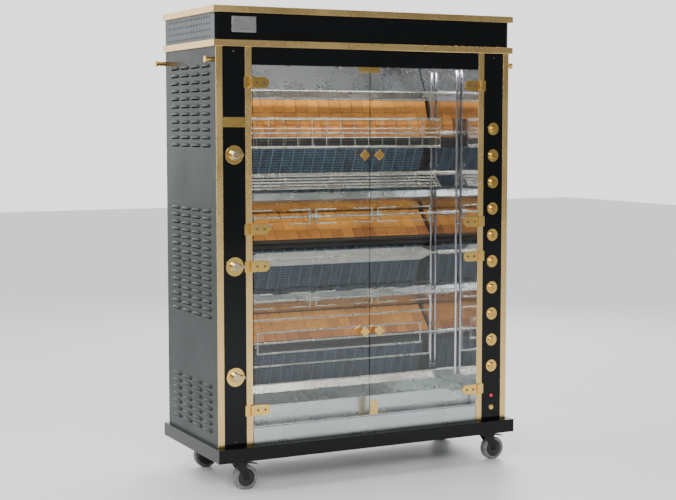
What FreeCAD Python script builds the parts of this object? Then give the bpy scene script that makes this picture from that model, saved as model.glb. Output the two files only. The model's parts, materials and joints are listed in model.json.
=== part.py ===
"""Floor-standing gas rotisserie oven: louvred cabinet on castors, four glass doors, eight spits.

X points to the oven's right as its user sees it from the back, Y to the rear, Z up.
The origin is on the floor, under the middle of the plinth.
"""
import FreeCAD, Part
import math
import os

os.makedirs("parts", exist_ok=True)
V = FreeCAD.Vector

# Cabinet
BODY_W = 1360.0          # over the side panels
BODY_D = 561.0           # front strips to back panel
COLUMN_H = 1590.0        # plinth to cornice
SHEET = 2.0              # cabinet sheet metal
STRIP_W = 28.0           # brass strips beside each control panel
CONTROL_W = 96.0         # black control panel
PANEL_RECESS = 1.5       # control panels sit behind the brass strips
HEADER_H = 70.0          # black panel above the doors
TRIM_H = 26.0            # brass cornice mouldings
TRIM_OUT = 12.0          # moulding projection
TRIM_T = 14.0            # moulding thickness
FASCIA_H = 106.0         # black band between the mouldings
FASCIA_CHAMFER = 10.0
VENT_R = 5.0             # round vent holes of the cornice sides
VENT_ROWS, VENT_COLS = 4, 17
VENT_PITCH_Y, VENT_PITCH_Z = 28.0, 25.3
ROOF_DROP = 4.0          # roof panel below the upper moulding

# Plinth and castors
PLINTH_H = 55.0
PLINTH_SIDE, PLINTH_FRONT, PLINTH_REAR = 15.0, 45.0, 22.0
PLINTH_T = 3.0
CHANNEL_W = 120.0
PLATE_T = 4.0            # castor top plate
PLATE_X, PLATE_Y = 105.0, 85.0
CASTOR_INSET = 105.0     # plinth side to king pin
CASTOR_FRONT, CASTOR_REAR = 15.0, 445.0     # king pins behind the oven's front
WHEEL_R, WHEEL_W = 50.0, 32.0
CASTOR_H = 2 * WHEEL_R + 25.0    # floor to plinth edge
TRAIL = 30.0
AXLE_R, KING_R = 5.0, 6.0
FORK_T = 3.0
LEG_HALF, LEG_RISE, LEG_DROP, LEG_CLEAR = 12.0, 4.0, 9.0, 2.0   # fork leg around and beside the axle
AXLE_OUT = 4.0
TREAD_ROUND = 4.0
PEDAL_OUT, PEDAL_DROP = 6.0, 2.0         # pedal pin outside and below the ball race
PEDAL_L, PEDAL_TIP, PEDAL_HALF = 46.0, 10.0, 16.0
PEDAL_HUB_R, PEDAL_HUB_HALF, PEDAL_PIN_R = 5.0, 12.0, 2.5
LUG_T, LUG_CLEAR = 3.0, 1.0
RUN = 0.05               # radial clearance of every shaft in its hole
GAP = 0.3                # clearance between faces that slide

# Louvres: distances of the four columns behind the front edge, and three groups of rows
LOUVRE_COLUMNS = [(65.0, 147.0), (176.0, 265.0), (290.0, 381.0), (408.0, 495.0)]
LOUVRE_GROUPS = [(11, 76.0, 31.5), (15, 651.0, 30.3), (7, COLUMN_H - 234.0, 30.2)]   # rows, drop, pitch
LOUVRE_SLOT = 9.0

# Cavity, doors and drawer
WALL = 3.0               # cavity wall sheet
CAVITY_DROP = 48.0       # cavity roof below the cornice
DRAWER_FRONT_H = 68.0
DRAWER_DEPTH = 455.0
DRAWER_RISE = 8.0        # tray floor above the drawer front's lower edge
DRAWER_TRAY_H = DRAWER_FRONT_H - DRAWER_RISE - 6.0
DRAWER_SIDE = 16.0       # tray side to cavity wall
RAIL_T = 4.0
FLOOR_GAP = 2.0          # drawer front to the cavity floor
DOOR_LOW_GAP, DOOR_MID_GAP, DOOR_TOP_GAP = 18.0, 41.0, 15.0
DOOR_SIDE_GAP, DOOR_SEAM = 4.0, 4.0
GLASS_T, GLASS_PROUD = 6.0, 3.0
STRAP_L, STRAP_H, STRAP_T = 72.0, 43.0, 3.0
KNUCKLE_R, PIN_R, EAR_H = 6.0, 3.0, 6.0
PIVOT_OUT = 6.0          # pivot outside the opening's edge
HINGE_IN = 54.0          # hinge from the door's end
BRACKET_L, BRACKET_T = 34.0, 2.5
SCREW_R = 2.5
HANDLE_D, HANDLE_T, HANDLE_OUT = 45.0, 8.0, 18.0
HANDLE_IN = 34.0         # handle from the seam
STRAP_POINT = 14.0       # slanted corners of a strap's inner end
STRAP_SCREWS = (18.0, 50.0)
PAD_T, PAD_HALF = 2.0, 14.0
STUD_R, WASHER_T = 8.0, 3.0
CATCH_HALF, CATCH_T, CATCH_DROP, CATCH_RISE = 51.0, 3.0, 23.0, 12.0
LOW_CATCH, LOW_CATCH_H, LOW_CATCH_T, LOW_CATCH_FOOT = (8.0, 44.0), 62.0, 2.0, 17.0
PAN_LIP, PAN_H, PAN_DEPTH, PAN_T = 60.0, 70.0, 380.0, 2.0
DRAIN_R = 18.0

# Burner wall, measured behind the front (depth) and from each ridge (height)
RIDGE_DEPTH, SLOPE_DEPTH = 385.0, 490.0
BRICK_RISE, DEFLECTOR_H = 110.0, 103.5
TOP_RIDGE_DROP, LOW_RIDGE_RISE = 312.0, 208.0
TOP_BRICK_DEPTH, TOP_BRICK_RISE = 437.0, 165.0
HOOD_DEPTH = 507.0
TILE_SHIFT = 28.0        # depth of the tiles in front of the housings
LIP_H = 44.0
HOUSING_BACK = 538.0
HOUSING_T = 2.0
BANK_END = 3.0           # open joint at each end of the banks
DEFLECTOR_NOSE = 392.0

# Spits
SPIT_COUNT = 8
SPIT_DEPTH = 260.0
SPIT_TOP_DROP, SPIT_LOW_RISE = 115.0, 45.0
ROD_R, COLLAR_R, COLLAR_L, DRIVE_R = 5.0, 11.0, 42.0, 6.0
BUSH_R, BUSH_L = 13.0, 14.0
WIRE_R, CROSS_R = 2.0, 1.5      # long and cross wires
RACK_WIRE_R = 4.0
BASKET_H, BASKET_D = 124.0, 122.0
CRADLE_SIDE = 92.0
RACK_R, RACK_INNER = 98.0, 44.0
ANGLE_SIDE, BLADE_H, BLADE_T = 45.0, 56.0, 3.0
GUARD_R, GUARD_OUT = 6.0, 8.5
GUARD_DEPTHS = (160.0, 377.0)
GEARBOX_X, GEARBOX_H, MOTOR_R, MOTOR_L = 42.0, 70.0, 24.0, 62.0
GEARBOX_HALF, MOTOR_DROP, DRIVE_OUT = 30.0, 8.0, 20.0
END_GAP, END_T, HUB_R, HUB_OUT = 0.2, 3.0, 14.0, 14.0    # end plates and hubs of the wire carriers
FORK_HUB_R, FORK_HUB_HALF, FORK_BAR_R = 12.0, 11.0, 3.5
PRONG_R, PRONG_OFF = 3.0, 30.0
FORK_PLACES = [(-420.0, 95.0), (-150.0, -95.0), (-120.0, 95.0), (150.0, -95.0), (180.0, 95.0), (440.0, -95.0)]
GUARD_END_LOW, GUARD_END_TOP, GUARD_FOOT_R = 40.0, 22.0, 4.0

# Controls
GAS_KNOB_DROPS = (424.0, 866.0, COLUMN_H - 281.0)      # below the cornice
NAMEPLATE_DROP, NAMEPLATE_W, NAMEPLATE_H = 295.0, 94.0, 39.0
SWITCH_COUNT, SWITCH_DROP, SWITCH_LOW_RISE = 10, 322.0, 237.5
SWITCH_PITCH = (COLUMN_H - SWITCH_DROP - SWITCH_LOW_RISE) / (SWITCH_COUNT - 1)
LAMP_DROP, BUTTON_DROP = COLUMN_H - 106.0, COLUMN_H - 54.0
GAS_PLATE_R, SWITCH_PLATE_R, PLATE_THICK = 38.0, 26.5, 2.5
GAS_KNOB_R, GAS_KNOB_L, LEVER_L = 21.0, 22.0, 34.0
SWITCH_KNOB_R, SWITCH_KNOB_L = 14.0, 16.0
SHAFT_R = 4.0
BUTTON_R, BUTTON_TRAVEL, LAMP_R = 7.0, 3.0, 8.0
PEG_FRONT, PEG_REAR, PEG_R = 34.0, 57.0, 9.0
PEG_DROP, PEG_IN = 50.0, 32.0
PIPE_R, MANIFOLD_R = 8.0, 13.0
NIPPLE_R, NIPPLE_L = 10.5, 20.0              # gas inlet thread behind the back panel
VALVE_HALF, VALVE_L, VALVE_AXIS = 15.0, 46.0, 26.0

# Derived levels and planes
PLINTH_D = BODY_D + PLINTH_FRONT + PLINTH_REAR
FRONT = -PLINTH_D / 2 + PLINTH_FRONT
BACK = FRONT + BODY_D
HALF = BODY_W / 2
OPENING = HALF - 2 * STRIP_W - CONTROL_W
LOAD_HALF = OPENING - 73.0       # half length of baskets, racks and blades
CONTROL_X = HALF - STRIP_W - CONTROL_W / 2
FLOOR_Z = CASTOR_H + PLINTH_H
CORNICE_Z = FLOOR_Z + COLUMN_H
FASCIA_Z = CORNICE_Z + TRIM_H
UPPER_TRIM_Z = FASCIA_Z + FASCIA_H
HEADER_Z = CORNICE_Z - HEADER_H
CAVITY_TOP = CORNICE_Z - CAVITY_DROP
DRAWER_Z = FLOOR_Z + GAP
DRAWER_TOP = DRAWER_Z + DRAWER_FRONT_H
CAVITY_FLOOR = DRAWER_TOP + FLOOR_GAP + WALL
PANEL_Y = FRONT + PANEL_RECESS
PAN_RIM = CAVITY_FLOOR + PAN_H
DOOR_H = (HEADER_Z - DRAWER_TOP - DOOR_LOW_GAP - DOOR_MID_GAP - DOOR_TOP_GAP) / 2
LOWER_DOOR_Z = DRAWER_TOP + DOOR_LOW_GAP
UPPER_DOOR_Z = LOWER_DOOR_Z + DOOR_H + DOOR_MID_GAP
GLASS_Y = FRONT - GLASS_PROUD
PIVOT_Y = GLASS_Y - STRAP_T - KNUCKLE_R / 2 - 1
SPIT_Y = FRONT + SPIT_DEPTH
SPIT_TOP, SPIT_LOW = CAVITY_TOP - SPIT_TOP_DROP, PAN_RIM + SPIT_LOW_RISE
SPIT_Z = [SPIT_TOP - (SPIT_TOP - SPIT_LOW) * i / (SPIT_COUNT - 1) for i in range(SPIT_COUNT)]
RIDGE_PITCH = (CAVITY_TOP - TOP_RIDGE_DROP - PAN_RIM - LOW_RIDGE_RISE) / 2
RIDGES = [CAVITY_TOP - TOP_RIDGE_DROP - RIDGE_PITCH * i for i in range(3)]
RADIANT_DROP = RIDGE_PITCH - BRICK_RISE - DEFLECTOR_H
BANK = OPENING - BANK_END
SIDES = {"left": -1, "right": 1}


def box(x0, x1, y0, y1, z0, z1):
    """Block between two corners, given in any order."""
    low = V(min(x0, x1), min(y0, y1), min(z0, z1))
    return Part.makeBox(abs(x1 - x0), abs(y1 - y0), abs(z1 - z0), low)


def rod(radius, start, end):
    """Round bar from one point to another."""
    a, b = V(*start), V(*end)
    return Part.makeCylinder(radius, (b - a).Length, a, b - a)


def prism_x(points, x0, x1):
    """Outline of (y, z) points, drawn out along X."""
    wire = Part.makePolygon([V(x0, y, z) for y, z in points + points[:1]])
    return Part.Face(wire).extrude(V(x1 - x0, 0, 0))


def prism_y(points, y0, y1):
    """Outline of (x, z) points, drawn out along Y."""
    wire = Part.makePolygon([V(x, y0, z) for x, z in points + points[:1]])
    return Part.Face(wire).extrude(V(0, y1 - y0, 0))


def prism_z(points, z0, z1):
    """Outline of (x, y) points, drawn out along Z."""
    wire = Part.makePolygon([V(x, y, z0) for x, y in points + points[:1]])
    return Part.Face(wire).extrude(V(0, 0, z1 - z0))


def fused(*shapes):
    return shapes[0].multiFuse(list(shapes[1:])).removeSplitter()


def cut(shape, *tools):
    return shape.cut(list(tools))


def tray(x0, x1, y0, y1, z0, z1, wall):
    """Open-topped sheet tray."""
    return cut(box(x0, x1, y0, y1, z0, z1),
               box(x0 + wall, x1 - wall, y0 + wall, y1 - wall, z0 + wall, z1 + wall))


def boxed(points, x0, x1, wall):
    """Sheet-metal tube with the outline's shape, open at its ends."""
    wire = Part.makePolygon([V(x0, y, z) for y, z in points + points[:1]])
    inner = wire.makeOffset2D(-wall)
    return Part.Face(wire).extrude(V(x1 - x0, 0, 0)).cut(Part.Face(inner).extrude(V(x1 - x0, 0, 0)))


def mirrored(shape):
    return shape.mirror(V(0, 0, 0), V(1, 0, 0))


def both_sides(shapes):
    return shapes + [mirrored(s) for s in shapes]


def depth(behind_front):
    return FRONT + behind_front


def export(name, shapes):
    """Write one node, a solid or a group of separate solids."""
    solids = [s for shape in shapes for s in shape.Solids]
    target = solids[0] if len(solids) == 1 else Part.makeCompound(solids)
    target.exportStep("parts/" + name + ".step")


# Plinth: a pan with its open side down, and two channels that carry the castors
PLINTH_X = HALF + PLINTH_SIDE
KING_X = PLINTH_X - CASTOR_INSET
CHANNEL_Z = CASTOR_H + PLATE_T


def plinth():
    """Top sheet, four flanges and two channels, as flat strips of sheet that meet at the folds."""
    x0, y0, t = PLINTH_X, PLINTH_D / 2, PLINTH_T
    under = FLOOR_Z - t
    strips = [box(-x0, x0, -y0, y0, under, FLOOR_Z)]
    strips += [box(-x0, x0, y, y + t, CASTOR_H, under) for y in (-y0, y0 - t)]
    strips += both_sides([box(x0 - t, x0, -y0 + t, y0 - t, CASTOR_H, under)])
    near, far = KING_X - CHANNEL_W / 2, KING_X + CHANNEL_W / 2
    channel = [box(near, far, -y0 + t, y0 - t, CHANNEL_Z, CHANNEL_Z + t)]
    channel += [box(x, x + t, -y0 + t, y0 - t, CHANNEL_Z + t, under) for x in (near, far - t)]
    return strips + both_sides(channel)


def castor_places():
    """Name, king pin X and Y of each castor."""
    for end, behind in (("front", CASTOR_FRONT), ("rear", CASTOR_REAR)):
        for side, sign in SIDES.items():
            yield end + "_" + side, sign * KING_X, depth(behind)


RACE_R, RACE_Z, CROWN_Z = 26.0, 2 * WHEEL_R + 12.0, 2 * WHEEL_R + 6.0


def castor_plate(x, y):
    """Top plate, king pin and the pin's head, which meet at flat faces."""
    plate = box(x - PLATE_X / 2, x + PLATE_X / 2, y - PLATE_Y / 2, y + PLATE_Y / 2,
                CASTOR_H, CASTOR_H + PLATE_T)
    pin = rod(KING_R, (x, y, CROWN_Z - GAP), (x, y, CASTOR_H))
    head = rod(KING_R + 4, (x, y, CROWN_Z - 5), (x, y, CROWN_Z - GAP))
    return [plate, pin, head]


def castor_fork(x, y):
    """Fork under its ball race, with the wheel's axle bolt across its legs."""
    wheel_x = x + TRAIL
    race = rod(RACE_R, (x, y, RACE_Z), (x, y, CASTOR_H - GAP))
    inner = WHEEL_W / 2 + LEG_CLEAR
    crown = box(x - RACE_R, x + RACE_R, y - inner - FORK_T, y + inner + FORK_T, CROWN_Z, RACE_Z)
    fore, aft = wheel_x + LEG_HALF, wheel_x - LEG_HALF
    leg = [(x - RACE_R, RACE_Z), (x + RACE_R, RACE_Z), (fore, WHEEL_R + LEG_RISE),
           (fore, WHEEL_R - LEG_DROP), (aft, WHEEL_R - LEG_DROP), (aft, WHEEL_R + LEG_RISE)]
    legs = [prism_y(leg, y + inner, y + inner + FORK_T), prism_y(leg, y - inner, y - inner - FORK_T)]
    bore = rod(KING_R + RUN, (x, y, 0), (x, y, CASTOR_H))
    reach = inner + FORK_T + AXLE_OUT
    axle = rod(AXLE_R, (wheel_x, y - reach, WHEEL_R), (wheel_x, y + reach, WHEEL_R))
    return [fused(cut(fused(race, crown, *legs), bore), axle)]


def castor_wheel(x, y):
    tread = rod(WHEEL_R, (x + TRAIL, y - WHEEL_W / 2, WHEEL_R), (x + TRAIL, y + WHEEL_W / 2, WHEEL_R))
    tread = tread.makeFillet(TREAD_ROUND, [e for e in tread.Edges if e.Curve.TypeId == "Part::GeomCircle"])
    return [cut(tread, rod(AXLE_R + RUN, (x + TRAIL, y - WHEEL_W, WHEEL_R),
                           (x + TRAIL, y + WHEEL_W, WHEEL_R)))]


def pedal_axis(x):
    return x + RACE_R + PEDAL_OUT, RACE_Z - PEDAL_DROP


def brake_pedal(x, y):
    """Pedal with a hub that turns on the pin of a front fork."""
    px, pz = pedal_axis(x)
    hub = rod(PEDAL_HUB_R, (px, y - PEDAL_HUB_HALF, pz), (px, y + PEDAL_HUB_HALF, pz))
    tread = prism_y([(px, pz - 2), (px + PEDAL_L, pz - PEDAL_TIP), (px + PEDAL_L + 1, pz - PEDAL_TIP + LUG_T),
                     (px, pz + LUG_T)], y - PEDAL_HALF, y + PEDAL_HALF)
    bore = rod(PEDAL_PIN_R + RUN, (px, y - PEDAL_HALF - 4, pz), (px, y + PEDAL_HALF + 4, pz))
    return [cut(fused(hub, tread), bore)]


def pedal_pin(x, y):
    """Pin and two lugs that join the pedal to a front fork."""
    px, pz = pedal_axis(x)
    near = PEDAL_HALF + LUG_CLEAR
    far = near + LUG_T
    pin = rod(PEDAL_PIN_R, (px, y - far, pz), (px, y + far, pz))
    lugs = [box(x + RACE_R - PEDAL_OUT, px + 4, y + s * near, y + s * far, pz - 4, RACE_Z) for s in (-1, 1)]
    return [pin] + lugs


# Cabinet panels
def side_panel():
    """Right side panel with its louvre slots."""
    panel = box(HALF - SHEET, HALF, FRONT + SHEET, BACK, FLOOR_Z, CORNICE_Z)
    slots = []
    for rows, drop, pitch in LOUVRE_GROUPS:
        for row in range(rows):
            z = CORNICE_Z - drop - row * pitch
            for near, far in LOUVRE_COLUMNS:
                slots.append(box(HALF - 2 * SHEET, HALF + SHEET, depth(near), depth(far),
                                 z - LOUVRE_SLOT / 2, z + LOUVRE_SLOT / 2))
    return cut(panel, Part.makeCompound(slots))


def back_and_roof():
    """Back panel with the gas inlet hole, and the roof panel with exhaust slots."""
    inner = HALF - SHEET
    back = cut(box(-inner, inner, BACK - SHEET, BACK, FLOOR_Z, UPPER_TRIM_Z),
               rod(MANIFOLD_R + 1, (INLET_X, BACK - 20, INLET_Z), (INLET_X, BACK + 20, INLET_Z)))
    top = UPPER_TRIM_Z - ROOF_DROP
    roof = box(-inner, inner, FRONT + FASCIA_CHAMFER, BACK - SHEET, top - SHEET, top)
    slots = [box(x - 4, x + 4, 20, 200, top - 10, top + 10) for x in range(-450, 451, 30)]
    return [back, cut(roof, Part.makeCompound(slots))]


def front_panels():
    """Two control panels, the header over the doors and the chamfered cornice fascia."""
    left = box(-CONTROL_X - CONTROL_W / 2, -CONTROL_X + CONTROL_W / 2, PANEL_Y, PANEL_Y + SHEET,
               FLOOR_Z, CORNICE_Z)
    right = mirrored(left)
    for drop in GAS_KNOB_DROPS:
        left = left.cut(shaft_hole(-CONTROL_X, CORNICE_Z - drop))
    for drop in switch_drops():
        right = right.cut(shaft_hole(CONTROL_X, CORNICE_Z - drop))
    right = right.cut(rod(BUTTON_R + 0.1, (CONTROL_X, FRONT - 9, CORNICE_Z - BUTTON_DROP),
                          (CONTROL_X, FRONT + 9, CORNICE_Z - BUTTON_DROP)))
    header = box(-OPENING, OPENING, PANEL_Y, PANEL_Y + SHEET, HEADER_Z, CORNICE_Z)
    c = FASCIA_CHAMFER
    band = prism_z([(-HALF, FRONT + c), (-HALF + c, FRONT), (HALF - c, FRONT), (HALF, FRONT + c),
                    (HALF - SHEET, FRONT + c), (HALF - c - 1, FRONT + SHEET),
                    (-HALF + c + 1, FRONT + SHEET), (-HALF + SHEET, FRONT + c)], FASCIA_Z, UPPER_TRIM_Z)
    return [left, right, header, band]


def shaft_hole(x, z):
    return rod(SHAFT_R + 1, (x, FRONT - 9, z), (x, FRONT + 9, z))


def switch_drops():
    return [SWITCH_DROP + SWITCH_PITCH * i for i in range(SWITCH_COUNT)]


def cornice_grille():
    """Right perforated side of the cornice."""
    y0, middle = FRONT + FASCIA_CHAMFER, (FRONT + FASCIA_CHAMFER + BACK) / 2
    plate = box(HALF - SHEET, HALF, y0, BACK, FASCIA_Z, UPPER_TRIM_Z)
    holes = []
    for row in range(VENT_ROWS):
        z = (FASCIA_Z + UPPER_TRIM_Z) / 2 + (row - (VENT_ROWS - 1) / 2) * VENT_PITCH_Z
        for col in range(VENT_COLS):
            y = middle + (col - (VENT_COLS - 1) / 2) * VENT_PITCH_Y
            holes.append(rod(VENT_R, (HALF - 2 * SHEET, y, z), (HALF + SHEET, y, z)))
    return cut(plate, Part.makeCompound(holes))


def brass_trim():
    """Mitred cornice mouldings and the four column strips."""
    out, inn = HALF + TRIM_OUT, HALF + TRIM_OUT - TRIM_T
    front_out, front_in = FRONT - TRIM_OUT, FRONT - TRIM_OUT + TRIM_T
    bars = []
    for z in (CORNICE_Z, UPPER_TRIM_Z):
        bars.append(prism_z([(-out, front_out), (out, front_out), (inn, front_in), (-inn, front_in)],
                            z, z + TRIM_H))
        bars += both_sides([prism_z([(out, front_out), (out, BACK), (inn, BACK), (inn, front_in)],
                                    z, z + TRIM_H)])
    strips = [box(x, x + STRIP_W, FRONT, FRONT + SHEET, FLOOR_Z, CORNICE_Z)
              for x in (OPENING, HALF - STRIP_W)]
    return bars + both_sides(strips)


# Cavity
def wall_holes():
    """Holes in the cavity walls for the spit bushes and the burner feeds."""
    holes = [rod(BUSH_R, (x, SPIT_Y, z), (x + 20, SPIT_Y, z)) for z in SPIT_Z for x in (-OPENING - 10, OPENING - 10)]
    feeds = [rod(PIPE_R + 1, (-OPENING - 10, FEED_Y, z - FEED_DROP), (-OPENING + 10, FEED_Y, z - FEED_DROP))
             for z in RIDGES]
    return holes + feeds


def cavity_liner():
    """Polished walls, roof and floor of the cavity, with the drawer's rails."""
    front = FRONT + SHEET
    wall = box(OPENING, OPENING + WALL, front, BACK - SHEET, FLOOR_Z, CAVITY_TOP)
    walls = [cut(w, *wall_holes()) for w in both_sides([wall])]
    roof = box(-OPENING - WALL, OPENING + WALL, PANEL_Y + SHEET, BACK - SHEET, CAVITY_TOP, CAVITY_TOP + WALL)
    floor = cut(box(-OPENING, OPENING, front, BACK - SHEET, CAVITY_FLOOR - WALL, CAVITY_FLOOR), drain())
    rail_top = DRAWER_Z + DRAWER_RISE - GAP
    rail = box(OPENING - DRAWER_SIDE - 8, OPENING, front + SHEET, depth(DRAWER_DEPTH + 20), rail_top - RAIL_T,
               rail_top)
    return walls + [roof, floor] + both_sides([rail])


def drain():
    y = depth(PAN_LIP + PAN_DEPTH / 2)
    return rod(DRAIN_R, (0, y, DRAWER_TOP - 20), (0, y, PAN_RIM))


def drip_pan():
    pan = tray(-BANK, BANK, depth(PAN_LIP), depth(PAN_LIP + PAN_DEPTH), CAVITY_FLOOR, PAN_RIM, PAN_T)
    return [cut(pan, drain())]


def bank_points(index):
    """Front corners of one burner bank: top of the bricks, ridge, foot of the radiants."""
    ridge = RIDGES[index]
    top = (TOP_BRICK_DEPTH, ridge + TOP_BRICK_RISE) if index == 0 else (SLOPE_DEPTH, ridge + BRICK_RISE)
    foot = (SLOPE_DEPTH, ridge - RADIANT_DROP) if index < 2 else (SLOPE_DEPTH - 25, PAN_RIM + 5)
    return [(depth(b), z) for b, z in (top, (RIDGE_DEPTH, ridge), foot)]


def slab(a, b):
    """Sloping bank of tiles between two front corners."""
    return prism_x([a, b, (b[0] + TILE_SHIFT, b[1]), (a[0] + TILE_SHIFT, a[1])], -BANK, BANK)


def lip_end(ridge, foot):
    """Point on the radiant slope where the cast lip ends."""
    share = LIP_H / (ridge[1] - foot[1])
    return (ridge[0] + (foot[0] - ridge[0]) * share, ridge[1] - LIP_H)


def burner_boxes():
    """Housings behind the tiles, each with its cast lip along the ridge."""
    solids = []
    for i in range(3):
        top, ridge, foot = bank_points(i)
        back = depth(HOUSING_BACK)
        outline = [(p[0] + TILE_SHIFT, p[1]) for p in (top, ridge, foot)]
        outline = [outline[0], outline[1], outline[2]] + [(back, foot[1]), (back, top[1])]
        housing = boxed(outline, -BANK, BANK, HOUSING_T)
        feed = rod(PIPE_R + RUN, (-BANK - 9, FEED_Y, RIDGES[i] - FEED_DROP), (-BANK + 9, FEED_Y, RIDGES[i] - FEED_DROP))
        lip = slab(ridge, lip_end(ridge, foot))
        brace = box(-BANK, BANK, back, BACK - SHEET, RIDGES[i] - 40, RIDGES[i] - 20)
        solids += [housing.cut(feed), lip, brace]
    return solids


def firebricks():
    return [slab(*bank_points(i)[:2]) for i in range(3)]


def radiant_plates():
    banks = [bank_points(i) for i in range(3)]
    return [slab(lip_end(ridge, foot), foot) for top, ridge, foot in banks]


def deflectors():
    """Hood under the cavity roof and the two boxed deflectors between the banks."""
    top = bank_points(0)[0]
    hood = prism_x([(depth(HOOD_DEPTH), CAVITY_TOP), top, (top[0] + SHEET, top[1]),
                    (depth(HOOD_DEPTH) + SHEET, CAVITY_TOP)], -BANK, BANK)
    solids = [hood]
    for i in range(2):
        foot, lower = bank_points(i)[2], bank_points(i + 1)[0]
        drop = foot[1] - lower[1]
        outline = [(foot[0], foot[1]), (depth(DEFLECTOR_NOSE), foot[1] - 0.12 * drop),
                   (depth(DEFLECTOR_NOSE - 6), foot[1] - 0.4 * drop),
                   (depth(DEFLECTOR_NOSE + 14), foot[1] - 0.66 * drop), lower,
                   (lower[0] + TILE_SHIFT, lower[1]), (foot[0] + TILE_SHIFT, foot[1])]
        solids.append(boxed(outline, -BANK, BANK, SHEET))
    return solids


# Gas train
FEED_DROP = RADIANT_DROP - 105.0
FEED_Y = depth(HOUSING_BACK - 20.0)
MANIFOLD_X = -CONTROL_X - 42.0
INLET_X, INLET_Z = MANIFOLD_X, FLOOR_Z + 60.0
VALVE_Y = PANEL_Y + SHEET


def gas_train():
    """Inlet, manifold, three valves and the feed to each burner, in the left compartment."""
    solids = []
    y = VALVE_Y + VALVE_AXIS
    for drop, ridge in zip(GAS_KNOB_DROPS, RIDGES):
        z, x = CORNICE_Z - drop, -CONTROL_X
        body = box(x - VALVE_HALF, x + VALVE_HALF, VALVE_Y, VALVE_Y + VALVE_L, z - 20, z + 20)
        nipple = rod(PIPE_R, (x - VALVE_HALF + 1, y, z), (MANIFOLD_X - 6, y, z))
        feed_z = ridge - FEED_DROP
        back = rod(PIPE_R, (x, VALVE_Y + VALVE_L - 6, z), (x, FEED_Y, z))
        down = rod(PIPE_R, (x, FEED_Y, z), (x, FEED_Y, feed_z))
        into = rod(PIPE_R, (x, FEED_Y, feed_z), (-BANK + 6, FEED_Y, feed_z))
        elbows = [Part.makeSphere(PIPE_R, V(x, FEED_Y, level)) for level in (z, feed_z)]
        valve = fused(body, nipple, back, down, into, *elbows)
        solids.append(cut(valve, rod(SHAFT_R + RUN, (x, VALVE_Y - 1, z), (x, y, z))))
    low, high = INLET_Z, CORNICE_Z - GAS_KNOB_DROPS[0] + 40
    pipe = fused(rod(MANIFOLD_R, (MANIFOLD_X, y, low), (MANIFOLD_X, y, high)),
                 Part.makeSphere(MANIFOLD_R, V(MANIFOLD_X, y, low)),
                 rod(MANIFOLD_R, (MANIFOLD_X, y, low), (MANIFOLD_X, BACK, low)),
                 rod(NIPPLE_R, (MANIFOLD_X, BACK - 1, low), (MANIFOLD_X, BACK + NIPPLE_L, low)))
    return [fused(pipe, *solids)]


# Doors
def door_floor(level):
    return {"lower": LOWER_DOOR_Z, "upper": UPPER_DOOR_Z}[level]


def hinge_levels(level):
    z = door_floor(level)
    return (z + HINGE_IN, z + DOOR_H - HINGE_IN)


STRAP_START = OPENING - 1.0


def handle_place(level):
    return (HANDLE_IN, door_floor(level) + DOOR_H / 2)


def strap_screws(level):
    """Places of the screws through the glass of a right-hand door."""
    return [(STRAP_START - reach, z) for z in hinge_levels(level) for reach in STRAP_SCREWS]


def door_glass(level):
    z = door_floor(level)
    pane = box(DOOR_SEAM / 2, OPENING - DOOR_SIDE_GAP, GLASS_Y, GLASS_Y + GLASS_T, z, z + DOOR_H)
    places = strap_screws(level) + [handle_place(level)]
    holes = [rod(SCREW_R + 0.4, (x, GLASS_Y - 9, pz), (x, GLASS_Y + 19, pz)) for x, pz in places]
    return cut(pane, *holes)


def door_fittings(level):
    """Hinge straps with their knuckles, back pads and screws, and the diamond handle."""
    solids = []
    pivot_x = OPENING + PIVOT_OUT
    front, back = GLASS_Y, GLASS_Y + GLASS_T
    for z in hinge_levels(level):
        half = STRAP_H / 2
        tip = STRAP_START - STRAP_L
        outline = [(STRAP_START, z - half), (STRAP_START, z + half), (tip + STRAP_POINT, z + half),
                   (tip, z + half - STRAP_POINT), (tip, z - half + STRAP_POINT), (tip + STRAP_POINT, z - half)]
        inner = half - EAR_H
        web = box(STRAP_START - 4, pivot_x, front - STRAP_T, front, z - inner + GAP, z + inner - GAP)
        knuckle = rod(KNUCKLE_R, (pivot_x, PIVOT_Y, z - inner + GAP), (pivot_x, PIVOT_Y, z + inner - GAP))
        strap = fused(prism_y(outline, front - STRAP_T, front), web, knuckle)
        bore = rod(PIN_R + RUN, (pivot_x, PIVOT_Y, z - half), (pivot_x, PIVOT_Y, z + half))
        screws = [rod(SCREW_R, (STRAP_START - reach, front - STRAP_T - 1.5, z), (STRAP_START - reach, back + PAD_T, z))
                  for reach in STRAP_SCREWS]
        pad = box(tip + STRAP_POINT, STRAP_START - 10, back, back + PAD_T, z - PAD_HALF, z + PAD_HALF)
        solids.append(fused(cut(strap, bore), *screws, pad))
    x, z = handle_place(level)
    r = HANDLE_D / 2
    plate_y = front - HANDLE_OUT
    diamond = prism_y([(x - r, z), (x, z + r), (x + r, z), (x, z - r)], plate_y - HANDLE_T, plate_y)
    stud = rod(STUD_R, (x, plate_y, z), (x, front, z))
    screw = rod(SCREW_R, (x, front - 1, z), (x, back + WASHER_T + 1, z))
    washer = rod(STUD_R, (x, back, z), (x, back + WASHER_T, z))
    return solids + [fused(diamond, stud, screw, washer)]


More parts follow.
